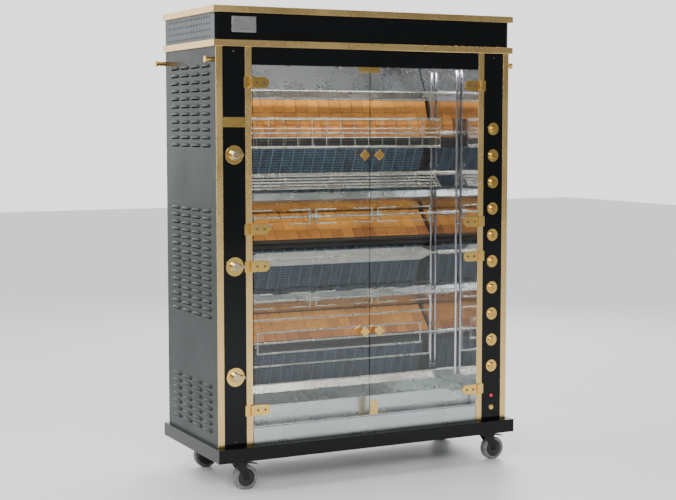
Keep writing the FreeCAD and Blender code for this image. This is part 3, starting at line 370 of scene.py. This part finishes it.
# ---------------------------------------------------------------------------
# Plinth. A pan of black enamelled sheet, open below, with two channels across
# it that carry the castors. It is a box without its floor, given a thickness.
# ---------------------------------------------------------------------------
def joined(parts, name):
    """One object of many, with its place in its mesh."""
    bpy.ops.object.select_all(action="DESELECT")
    for part in parts:
        part.select_set(True)
    bpy.context.view_layer.objects.active = parts[0]
    bpy.ops.object.join()
    whole = bpy.context.object
    whole.name = name
    bpy.ops.object.transform_apply(location=True, rotation=True, scale=True)
    return whole


def rectangle(low, high, bevel=0.0, segments=2):
    """Box between two corners, with rounded edges if a bevel is given."""
    low, high = Vector(low), Vector(high)
    bpy.ops.object.select_all(action="DESELECT")
    bpy.ops.mesh.primitive_cube_add(size=1, location=(low + high) / 2)
    made = bpy.context.object
    made.scale = high - low
    bpy.ops.object.transform_apply(location=True, scale=True)
    if bevel:
        soften = made.modifiers.new("edges", "BEVEL")
        soften.width, soften.segments = bevel, segments
        bpy.ops.object.modifier_apply(modifier="edges")
        bpy.ops.object.shade_smooth_by_angle(angle=math.radians(40))
        flat_faces(made)
    return made


PLINTH_SHEET = 0.003
CASTOR_INSET = 0.105                    # plinth side to the middle of a channel
CHANNEL_HALF = 0.06
CHANNEL_Z, CHANNEL_TOP = 0.129, 0.177
plinth_low, plinth_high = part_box("plinth")
pan = rectangle(plinth_low, plinth_high)
bpy.ops.object.mode_set(mode="EDIT")
bpy.ops.mesh.select_all(action="SELECT")
bpy.ops.mesh.normals_make_consistent(inside=False)
bpy.ops.object.mode_set(mode="OBJECT")
for element in (*pan.data.vertices, *pan.data.edges):
    element.select = False
for polygon in pan.data.polygons:
    polygon.select = polygon.normal.z < -0.5
bpy.ops.object.mode_set(mode="EDIT")
bpy.ops.mesh.delete(type="FACE")
bpy.ops.object.mode_set(mode="OBJECT")
sheet = pan.modifiers.new("sheet", "SOLIDIFY")
sheet.thickness, sheet.offset = PLINTH_SHEET, -1
bpy.ops.object.modifier_apply(modifier="sheet")
soften = pan.modifiers.new("folds", "BEVEL")
soften.width, soften.segments = 0.0016, 3
bpy.ops.object.modifier_apply(modifier="folds")
bpy.ops.object.shade_smooth_by_angle(angle=math.radians(40))
flat_faces(pan)
channels = []
web, web_z = CHANNEL_HALF - PLINTH_SHEET, CHANNEL_Z + PLINTH_SHEET
front_end, rear_end = plinth_low.y + PLINTH_SHEET, plinth_high.y - PLINTH_SHEET
for side in (-1, 1):
    middle = side * (plinth_high.x - CASTOR_INSET)
    for x0, x1, z0, z1 in ((-CHANNEL_HALF, CHANNEL_HALF, CHANNEL_Z, web_z),
                           (-CHANNEL_HALF, -web, web_z, CHANNEL_TOP),
                           (web, CHANNEL_HALF, web_z, CHANNEL_TOP)):
        channels.append(rectangle((middle + x0, front_end, z0), (middle + x1, rear_end, z1)))
plinth_pan = joined([pan] + channels, "plinth_pan")
dressed(plinth_pan, black_enamel)
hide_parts("plinth")

# ---------------------------------------------------------------------------
# Burner housings. Three cast housings across the back of the cavity, in dark
# iron with a rough honeycomb face, hold the bricks and the radiant plates.
# ---------------------------------------------------------------------------
cast_lip, tree, shader = material("cast_lip", (0.018, 0.019, 0.02), 0.62, 0.5)
coarse = noise(tree, stretched(tree, (1, 1, 1)), 70, 4)
cells = place(tree, "TexVoronoi", feature="DISTANCE_TO_EDGE")
cells.inputs["Scale"].default_value, cells.inputs["Randomness"].default_value = 95, 0.15
tree.links.new(stretched(tree, (1, 1, 1)), cells.inputs["Vector"])
comb = ramp(tree, cells.outputs["Distance"], 0.22, 0.06)
tint(tree, shader, comb, (0.004, 0.004, 0.005), (0.05, 0.045, 0.04))
relief(tree, shader, maths(tree, "ADD", comb, maths(tree, "MULTIPLY", coarse, 0.3)), 0.8, 0.003)
finish_node("burner_boxes", cast_lip)

# ---------------------------------------------------------------------------
# Firebricks. Rows of pressed bricks lean back above each housing. Each brick
# has its own shade, lighter in the upper rows, with specks of soot.
# ---------------------------------------------------------------------------
def slab_faces(node):
    """Front corners (top and foot, as Y and Z) of each sloping slab, from its solids."""
    low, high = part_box(node)
    points = {(round(v.co.y, 5), round(v.co.z, 5)) for v in nodes[node].data.vertices
              if v.co.x < low.x + 0.001}
    levels = sorted({z for y, z in points}, reverse=True)
    fronts = [(min(y for y, z in points if z == level), level) for level in levels]
    return low.x, high.x, [(fronts[i], fronts[i + 1]) for i in range(0, len(fronts), 2)]


def slope_frame(top, foot):
    """Direction down a slope and its outward normal, in the YZ plane."""
    down = Vector((0, foot[0] - top[0], foot[1] - top[1]))
    length = down.length
    down.normalize()
    return down, Vector((0, down.z, -down.y)), length


def block(size, bevel, segments=2):
    """Rounded block centred on the origin, to be copied."""
    bpy.ops.mesh.primitive_cube_add(size=1, location=(0, 0, 0))
    made = bpy.context.object
    made.scale = size
    bpy.ops.object.transform_apply(scale=True)
    if bevel:
        soften = made.modifiers.new("edges", "BEVEL")
        soften.width, soften.segments = bevel, segments
        bpy.ops.object.modifier_apply(modifier="edges")
        bpy.ops.object.shade_smooth_by_angle(angle=math.radians(40))
    return made


def stamp(model, matrix, shade=None):
    """Copy of a model with its own mesh, placed by a matrix, with an optional shade value."""
    copy = model.copy()
    copy.data = model.data.copy()
    copy.data.transform(matrix)
    if shade is not None:
        attribute = copy.data.attributes.new("shade", "FLOAT", "POINT")
        attribute.data.foreach_set("value", [shade] * len(copy.data.vertices))
    bpy.context.scene.collection.objects.link(copy)
    return copy


def drop_model(model):
    """Deletes a model once its copies are made."""
    bpy.data.objects.remove(model)


firebrick, tree, shader = material("firebrick", (0.72, 0.36, 0.13), 0.85)
shade_value = place(tree, "Attribute", attribute_name="shade").outputs["Fac"]
speck = noise(tree, stretched(tree, (1, 1, 1)), 90, 4)
bands = noise(tree, stretched(tree, (6, 6, 60)), 3, 2)
blend_value = maths(tree, "ADD", maths(tree, "MULTIPLY", shade_value, 0.7),
                    maths(tree, "MULTIPLY", bands, 0.35))
brick_mix = tint(tree, shader, ramp(tree, blend_value, 0.1, 0.9), (0.16, 0.035, 0.006), (0.66, 0.27, 0.035))
soot = place(tree, "Mix", data_type="RGBA", blend_type="MULTIPLY")
soot.inputs["B"].default_value = (0.34, 0.25, 0.19, 1)
tree.links.new(ramp(tree, speck, 0.55, 0.78, 0, 0.55), soot.inputs["Factor"])
tree.links.new(brick_mix.outputs["Result"], soot.inputs["A"])
tree.links.new(soot.outputs["Result"], shader.inputs["Base Color"])
relief(tree, shader, speck, 0.5, 0.0012)

BRICK_W, BRICK_GAP, BRICK_ROWS = 0.0545, 0.0012, 3
BRICK_T = 0.022
BRICK_SHADES = (0.95, 0.6, 0.3)         # one for each row, from the top
SHADE_SPREAD = 0.22
BRICK_UNEVEN = 0.0012                   # how far a brick may stand back
random.seed(7)
left_x, right_x, slopes = slab_faces("firebricks")
bricks = []
for top, foot in slopes:
    down, out, length = slope_frame(top, foot)
    row_h = length / BRICK_ROWS
    model = block((BRICK_W - BRICK_GAP, BRICK_T, row_h - BRICK_GAP), 0.0022, 1)
    basis = Matrix((Vector((1, 0, 0)), out, -down)).transposed().to_4x4()
    count = int((right_x - left_x) / BRICK_W)
    margin = ((right_x - left_x) - count * BRICK_W) / 2
    for row in range(BRICK_ROWS):
        for column in range(count):
            middle = Vector((left_x + margin + (column + 0.5) * BRICK_W, *top)) + down * row_h * (row + 0.5)
            sink = BRICK_T / 2 + random.uniform(0, BRICK_UNEVEN)
            shift = Matrix.Translation(middle - out * sink)
            shade = BRICK_SHADES[row] + random.uniform(-SHADE_SPREAD, SHADE_SPREAD)
            bricks.append(stamp(model, shift @ basis, shade))
    drop_model(model)
bricks = joined(bricks, "firebrick_rows")
dressed(bricks, firebrick)
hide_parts("firebricks")

# ---------------------------------------------------------------------------
# Radiant plates. Perforated ceramic plates that glow when the gas is lit stand
# below the bricks, with a narrow bar over each joint between two plates.
# ---------------------------------------------------------------------------
radiant_plate, tree, shader = material("radiant_plate", (0.05, 0.08, 0.12), 0.55)
coords = place(tree, "TexCoord").outputs["UV"]
split = place(tree, "SeparateXYZ")
tree.links.new(coords, split.inputs["Vector"])
row_number = maths(tree, "FLOOR", split.outputs["Y"])
stagger = maths(tree, "MULTIPLY", maths(tree, "MODULO", row_number, 2.0), 0.5)
across = maths(tree, "SUBTRACT", maths(tree, "FRACT", maths(tree, "ADD", split.outputs["X"], stagger)), 0.5)
along = maths(tree, "SUBTRACT", maths(tree, "FRACT", split.outputs["Y"]), 0.5)
flattened = maths(tree, "MULTIPLY", along, 1.8)
distance = maths(tree, "SQRT", maths(tree, "ADD", maths(tree, "POWER", across, 2.0),
                                     maths(tree, "POWER", flattened, 2.0)))
# Perforation lattice. It gives the holes their bump, and it also places the painted highlights in the colour.
perforation_and_glint = ramp(tree, distance, 0.34, 0.22)
# Mottle of the plates' dark tone. It also sets how strong the painted highlights are from place to place.
mottle_and_glint_spread = noise(tree, stretched(tree, (1, 1, 1)), 30, 3)
dark = place(tree, "Mix", data_type="RGBA")
dark.inputs["A"].default_value = (0.002, 0.004, 0.008, 1)
dark.inputs["B"].default_value = (0.007, 0.016, 0.034, 1)
tree.links.new(ramp(tree, mottle_and_glint_spread, 0.35, 0.65), dark.inputs["Factor"])
# Painted highlight: the light dots are glints on the perforations, painted into the base colour and stronger
# where the mottle is high.
painted_highlight_mix = place(tree, "Mix", data_type="RGBA")
painted_highlight_mix.inputs["B"].default_value = (0.16, 0.26, 0.34, 1)
tree.links.new(dark.outputs["Result"], painted_highlight_mix.inputs["A"])
tree.links.new(maths(tree, "MULTIPLY", perforation_and_glint, ramp(tree, mottle_and_glint_spread, 0.3, 0.7, 0.35, 1.0)), painted_highlight_mix.inputs["Factor"])
tree.links.new(painted_highlight_mix.outputs["Result"], shader.inputs["Base Color"])
relief(tree, shader, perforation_and_glint, 0.8, 0.0015)

radiant_bar = brushed("radiant_bar", (0.09, 0.14, 0.18), (0.04, 0.07, 0.10), (60, 60, 4), 0.35, 0.5, 0.6)
PLATE_W, PLATE_T, BAR_W, BAR_T = 0.0505, 0.012, 0.009, 0.01
PLATE_SINK, BAR_SINK = 0.011, 0.0055    # middles behind the slope's face
DOT_PITCH = 0.0125
left_x, right_x, slopes = slab_faces("radiant_plates")
plates, bars = [], []
for top, foot in slopes:
    down, out, length = slope_frame(top, foot)
    basis = Matrix((Vector((1, 0, 0)), out, -down)).transposed().to_4x4()
    count = int((right_x - left_x) / PLATE_W)
    margin = ((right_x - left_x) - count * PLATE_W) / 2
    model = block((PLATE_W - BAR_W, PLATE_T, length - 0.006), 0.0015)
    uv = model.data.uv_layers.active.data
    for polygon in model.data.polygons:
        for loop in polygon.loop_indices:
            co = model.data.vertices[model.data.loops[loop].vertex_index].co
            uv[loop].uv = (co.x / DOT_PITCH + 10, co.z / DOT_PITCH + 40.5)
    strip = block((BAR_W, BAR_T, length - 0.002), 0.001)
    for column in range(count + 1):
        edge_x = left_x + margin + column * PLATE_W
        middle = Vector((edge_x, *top)) + down * length / 2
        if column < count:
            centre = middle + Vector((PLATE_W / 2, 0, 0)) - out * PLATE_SINK
            plates.append(stamp(model, Matrix.Translation(centre) @ basis))
        if 0 < column < count:
            bars.append(stamp(strip, Matrix.Translation(middle - out * BAR_SINK) @ basis))
    drop_model(model)
    drop_model(strip)
plates = joined(plates, "radiant_plate_rows")
dressed(plates, radiant_plate)
bars = joined(bars, "radiant_plate_bars")
dressed(bars, radiant_bar)
for piece in (plates, bars):
    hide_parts("radiant_plates")

# ---------------------------------------------------------------------------
# Doors. Frameless toughened panes with polished edges, clamped by brass
# straps that turn on pins, and a diamond handle screwed through each pane.
# ---------------------------------------------------------------------------
plate_brass = brushed("plate_brass", (0.93, 0.63, 0.20), (0.80, 0.51, 0.13), along_x, 0.14, 0.28)
door_glass, tree, shader = material("door_glass", (0.97, 0.99, 0.98), 0.0)
shader.inputs["Transmission Weight"].default_value = 1.0
shader.inputs["IOR"].default_value = 1.45
shader.inputs["Specular IOR Level"].default_value = 0.3
smear = noise(tree, stretched(tree, (1, 1, 1)), 4.5, 6)
tree.links.new(ramp(tree, smear, 0.55, 0.8, 0.0, 0.02), shader.inputs["Roughness"])
clear = place(tree, "BsdfTransparent")
clear.inputs["Color"].default_value = (0.93, 0.97, 0.95, 1)
ray = place(tree, "LightPath")
either = maths(tree, "MAXIMUM", ray.outputs["Is Shadow Ray"], ray.outputs["Is Diffuse Ray"])
through = place(tree, "MixShader")
tree.links.new(either, through.inputs["Fac"])
tree.links.new(shader.outputs["BSDF"], through.inputs[1])
tree.links.new(clear.outputs["BSDF"], through.inputs[2])
tree.links.new(through.outputs["Shader"], tree.nodes["Material Output"].inputs["Surface"])
for level in ("upper", "lower"):
    for side in ("left", "right"):
        name = level + "_" + side
        rounded("glass_" + name, "pane_" + name, door_glass, 0.0008, body="door_" + name)
        rounded("fittings_" + name, "straps_and_handle_" + name, plate_brass, 0.0009, body="door_" + name)
rounded("door_hardware", "hinge_brackets_catches_pegs", plate_brass, 0.0008)

# ---------------------------------------------------------------------------
# Spits. Polished steel rods, angles, a blade, forks, a basket, a cradle and a
# rack, dulled a little by fat. They turn in flanged bushes in both walls.
# ---------------------------------------------------------------------------
spit_steel = brushed("spit_steel", (0.66, 0.66, 0.60), (0.45, 0.43, 0.37), along_x, 0.16, 0.34)
for number in range(1, 9):
    finish_node("spit_%d" % number, spit_steel)
finish_node("spit_supports", mirror_steel)

# ---------------------------------------------------------------------------
# Gear motors and gas pipes. Grey cast gear motors outside the right wall turn
# the spits, and steel pipes, valves and feeds outside the left bring the gas.
# ---------------------------------------------------------------------------
motor_cast = enamel("motor_cast", (0.2, 0.21, 0.22), (0.4, 0.4, 0.4), 0.4, 0.55)
rounded("spit_motors", "gear_motors", motor_cast, 0.002)
pipe_steel = brushed("pipe_steel", (0.55, 0.55, 0.52), (0.42, 0.41, 0.38), (30, 30, 30), 0.3, 0.5)
finish_node("gas_train", pipe_steel)

# ---------------------------------------------------------------------------
# Controls. Brass plates carry turned knobs: three gas taps with levers on the
# left, ten switches, a pilot lamp and a push button on the right.
# ---------------------------------------------------------------------------
rounded("rosettes", "knob_plates", plate_brass, 0.0006)
knob_steel = brushed("knob_steel", (0.74, 0.62, 0.38), (0.48, 0.38, 0.20), (40, 40, 40), 0.18, 0.32)
knob_gold = brushed("knob_gold", (0.90, 0.68, 0.26), (0.66, 0.44, 0.12), (40, 40, 40), 0.12, 0.25)
for label in ("upper", "middle", "lower"):
    rounded("gas_knob_" + label, "tap_knob_" + label, knob_steel, 0.0022, 3, body="gas_knob_" + label)
for number in range(1, 11):
    name = "switch_knob_%02d" % number
    rounded(name, "spit_" + name, knob_gold, 0.0018, 3, body=name)
rounded("push_button", "igniter_push_button", knob_gold, 0.0015, 3, body="push_button")
lamp_red, tree, shader = material("lamp_red", (0.75, 0.03, 0.02), 0.12, coat=0.6)
facets = noise(tree, stretched(tree, (1, 1, 1)), 300, 1)
tint(tree, shader, facets, (0.8, 0.05, 0.03), (0.55, 0.01, 0.01))
relief(tree, shader, facets, 0.2, 0.0005)
rounded("indicator_lamp", "pilot_lamp_lens", lamp_red, 0.0012, 3)

# ---------------------------------------------------------------------------
# Castors. Pressed black forks on ball races, grey rubber wheels with a black
# side disc and a raised boss on each face, and a pedal on each front fork.
# ---------------------------------------------------------------------------
fork_steel = brushed("fork_steel", (0.014, 0.014, 0.015), (0.04, 0.04, 0.04), (20, 20, 20), 0.32, 0.5, 0.8)
castor_tread, tree, shader = material("castor_tread", (0.2, 0.2, 0.2), 0.75)
dust = noise(tree, stretched(tree, (1, 1, 1)), 55, 5)
tint(tree, shader, ramp(tree, dust, 0.35, 0.7), (0.10, 0.103, 0.106), (0.22, 0.21, 0.195))
relief(tree, shader, dust, 0.35, 0.0008)
rounded("castor_plates", "castor_top_plates", fork_steel, 0.0008)
for end in ("front", "rear"):
    for side in ("left", "right"):
        name = end + "_" + side
        rounded("castor_fork_" + name, "fork_" + name, fork_steel, 0.001, body="swivel_" + name)
        rounded("castor_wheel_" + name, "wheel_" + name, castor_tread, 0.001, body="wheel_" + name)
for side in ("left", "right"):
    name = "front_" + side
    rounded("brake_pedal_" + name, "pedal_" + name, fork_steel, 0.0012, body="brake_pedal_" + name)
hub_black, tree, shader = material("hub_black", (0.012, 0.012, 0.013), 0.4)
film(tree, shader, 0.32, 0.5)
DISC_T = 0.003
HUB_DISCS = ((0.036, 0.0004), (0.014, 0.0022))       # radius and how far out
for end in ("front", "rear"):
    for side in ("left", "right"):
        name = end + "_" + side
        low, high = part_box("castor_wheel_" + name)
        centre = (low + high) / 2
        discs = []
        for sign in (-1, 1):
            for radius, out in HUB_DISCS:
                disc_y = centre.y + sign * ((high.y - low.y) / 2 + out - DISC_T / 2 + 0.0004)
                bpy.ops.object.select_all(action="DESELECT")
                bpy.ops.mesh.primitive_cylinder_add(vertices=48, radius=radius, depth=DISC_T,
                                                    rotation=(math.pi / 2, 0, 0),
                                                    location=(centre.x, disc_y, centre.z))
                disc = bpy.context.object
                bpy.ops.object.transform_apply(location=True, rotation=True)
                soften = disc.modifiers.new("edges", "BEVEL")
                soften.width, soften.segments, soften.limit_method = 0.0008, 2, "ANGLE"
                bpy.ops.object.modifier_apply(modifier="edges")
                bpy.ops.object.shade_smooth_by_angle(angle=math.radians(40))
                discs.append(disc)
        discs = joined(discs, "wheel_discs_" + name)
        dressed(discs, hub_black, "wheel_" + name)

# ---------------------------------------------------------------------------
# Louvre hoods. Each slot of the side panels has a pressed hood over it, open
# below: half of a flattened shell, stamped along four columns on both sides.
# ---------------------------------------------------------------------------
HOOD_OUT, HOOD_H = 0.0075, 0.0115
HOOD_WALL = 0.0009
HOOD_OVERLAP = 0.006                    # hood longer than its slot
LOUVRE_COLUMNS = ((0.065, 0.147), (0.176, 0.265), (0.290, 0.381), (0.408, 0.495))
LOUVRE_GROUPS = ((11, 0.076, 0.0315), (15, 0.651, 0.0303), (7, 1.356, 0.0302))
panel_low, panel_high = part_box("side_panels")


def shell_half(length):
    """Upper half of a flattened ellipsoid, thin-walled, that bulges along +X."""
    bpy.ops.object.select_all(action="DESELECT")
    bpy.ops.mesh.primitive_uv_sphere_add(segments=12, ring_count=8, radius=1, location=(0, 0, 0),
                                         rotation=(math.pi / 2, 0, 0))
    made = bpy.context.object
    bpy.ops.object.transform_apply(rotation=True)
    for vertex in made.data.vertices:
        y = vertex.co.y
        blunt = math.copysign(abs(y) ** 0.55, y)
        vertex.co = (vertex.co.x * HOOD_OUT, blunt * length / 2, vertex.co.z * HOOD_H)
    bpy.ops.object.mode_set(mode="EDIT")
    bpy.ops.mesh.select_all(action="SELECT")
    bpy.ops.mesh.bisect(plane_co=(0, 0, 0), plane_no=(0, 0, 1), clear_inner=True)
    bpy.ops.mesh.select_all(action="SELECT")
    bpy.ops.mesh.bisect(plane_co=(0, 0, 0), plane_no=(1, 0, 0), clear_inner=True)
    bpy.ops.object.mode_set(mode="OBJECT")
    wall = made.modifiers.new("wall", "SOLIDIFY")
    wall.thickness, wall.offset = HOOD_WALL, -1
    bpy.ops.object.modifier_apply(modifier="wall")
    bpy.ops.object.shade_smooth_by_angle(angle=math.radians(50))
    return made


hoods = []
for near, far in LOUVRE_COLUMNS:
    model = shell_half(far - near + HOOD_OVERLAP)
    middle = panel_low.y - 0.002 + (near + far) / 2
    for rows, drop, pitch in LOUVRE_GROUPS:
        for row in range(rows):
            z = panel_high.z - drop - row * pitch + 0.0005
            spot = Matrix.Translation((panel_high.x - 0.0003, middle, z))
            hoods.append(stamp(model, spot))
            mirror = stamp(model, Matrix.Scale(-1, 4, (1, 0, 0)) @ spot)
            mirror.data.flip_normals()
            hoods.append(mirror)
    drop_model(model)
hoods = joined(hoods, "louvre_hoods")
dressed(hoods, side_enamel)

# ---------------------------------------------------------------------------
# Screws of the door straps, the side panels and the control panels: domed dark
# steel heads with a slot, turned by different angles.
# ---------------------------------------------------------------------------
dark_steel = brushed("dark_steel", (0.16, 0.15, 0.13), (0.08, 0.075, 0.065), (60, 60, 60), 0.3, 0.45)


def screw_head(radius):
    """Domed head that looks along -Y, with a slot across it."""
    bpy.ops.object.select_all(action="DESELECT")
    bpy.ops.mesh.primitive_cylinder_add(vertices=24, radius=radius, depth=radius * 0.7,
                                        rotation=(math.pi / 2, 0, 0))
    head = bpy.context.object
    bpy.ops.object.transform_apply(rotation=True)
    soften = head.modifiers.new("dome", "BEVEL")
    soften.width, soften.segments, soften.limit_method = radius * 0.3, 3, "ANGLE"
    bpy.ops.object.modifier_apply(modifier="dome")
    reach, half_slot = radius * 1.2, radius * 0.16
    cutter = rectangle((-reach, -radius, -half_slot), (reach, -radius * 0.12, half_slot))
    only(head)
    slot_cut = head.modifiers.new("slot", "BOOLEAN")
    slot_cut.object, slot_cut.operation, slot_cut.solver = cutter, "DIFFERENCE", "EXACT"
    bpy.ops.object.modifier_apply(modifier="slot")
    drop_model(cutter)
    bpy.ops.object.shade_smooth_by_angle(angle=math.radians(40))
    return head


front_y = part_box("front_panels")[0].y
turned = [Matrix.Rotation(math.radians(angle), 4, "Y") for angle in (12, 75, 130, 40)]
STRAP_SCREW_R, PANEL_SCREW_R = 0.0042, 0.0036
HINGE_IN = 0.054                        # strap's middle from the pane's end
STRAP_END = 0.527                       # outer end of the straps from the oven's middle
STRAP_REACHES = (0.018, 0.050)          # screws from that end
STRAP_FACE = 0.0048                     # screw heads before the glass
CONTROL_X = 0.604                       # middle of the control panels
model = screw_head(STRAP_SCREW_R)
for level in ("upper", "lower"):
    for side, sign in (("left", -1), ("right", 1)):
        name = level + "_" + side
        low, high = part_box("glass_" + name)
        heads = []
        for number, z in enumerate((low.z + HINGE_IN, high.z - HINGE_IN)):
            for reach in STRAP_REACHES:
                spot = Matrix.Translation((sign * (STRAP_END - reach), low.y - STRAP_FACE, z))
                heads.append(stamp(model, spot @ turned[(number * 2 + int(reach * 100)) % 4]))
        heads = joined(heads, "strap_screws_" + name)
        dressed(heads, dark_steel, "door_" + name)
drop_model(model)

SIDE_SCREW_LEVELS = (0.23, 0.62, 1.02, 1.38, 1.72)
CONTROL_SCREW_LEVELS = (0.197, 1.752)
model = screw_head(PANEL_SCREW_R)
heads = []
for sign in (-1, 1):
    sideways = Matrix.Rotation(math.radians(sign * 90), 4, "Z")
    for y in (panel_low.y + 0.012, panel_high.y - 0.014):
        for z in SIDE_SCREW_LEVELS:
            spot = Matrix.Translation((sign * (panel_high.x + 0.0006), y, z))
            heads.append(stamp(model, spot @ sideways @ random.choice(turned)))
for z in CONTROL_SCREW_LEVELS:
    for sign in (-1, 1):
        spot = Matrix.Translation((sign * CONTROL_X, front_y + 0.0009, z))
        heads.append(stamp(model, spot @ random.choice(turned)))
drop_model(model)
heads = joined(heads, "panel_screws")
dressed(heads, dark_steel)

# ---------------------------------------------------------------------------
# Scale marks. Nine short lines filled with dark paint round each gas knob, the
# first, the middle and the last of them longer.
# ---------------------------------------------------------------------------
ink, tree, shader = material("ink", (0.02, 0.018, 0.015), 0.5)
film(tree, shader, 0.4, 0.6)
MARK_HALF, MARK_START = 0.0007, 0.0285
marks = []
for label in ("upper", "middle", "lower"):
    low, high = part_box("gas_knob_" + label)
    centre = Vector((-CONTROL_X, front_y - 0.0011, (low.z + high.z) / 2))
    for step in range(9):
        angle = math.radians(-120 + step * 30)
        length = 0.005 if step % 4 == 0 else 0.003
        tick = rectangle((-MARK_HALF, -0.0001, MARK_START), (MARK_HALF, 0.0002, MARK_START + length))
        marks.append(stamp(tick, Matrix.Translation(centre) @ Matrix.Rotation(angle, 4, "Y")))
        drop_model(tick)
marks = joined(marks, "gas_scale_marks")
dressed(marks, ink)

# ---------------------------------------------------------------------------
# Badge. A blank plate of brushed steel on the front of the cornice, with a
# slightly raised field inside its rim.
# ---------------------------------------------------------------------------
badge_steel = brushed("badge_steel", (0.72, 0.73, 0.74), (0.6, 0.61, 0.62), along_x, 0.18, 0.3)
BADGE_LEFT, BADGE_RIGHT = -0.612, -0.508
BADGE_FOOT, BADGE_TOP = 1.826, 1.888
BADGE_FACE, BADGE_BACK = -0.2716, -0.2686
badge = rectangle((BADGE_LEFT, BADGE_FACE, BADGE_FOOT), (BADGE_RIGHT, BADGE_BACK, BADGE_TOP), 0.0011, 3)
field = rectangle((BADGE_LEFT + 0.008, BADGE_FACE - 0.0006, BADGE_FOOT + 0.006),
                  (BADGE_RIGHT - 0.008, BADGE_FACE + 0.0004, BADGE_TOP - 0.006), 0.0004, 2)
badge = joined([badge, field], "plain_badge")
dressed(badge, badge_steel)

# ---------------------------------------------------------------------------
# Floor finish. The studio floor is matt pale grey, with a faint unevenness in
# its shine.
# ---------------------------------------------------------------------------
floor_finish, tree, shader = material("floor_finish", (0.82, 0.83, 0.84), 0.45)
film(tree, shader, 0.4, 0.52)
floor.data.materials.append(floor_finish)
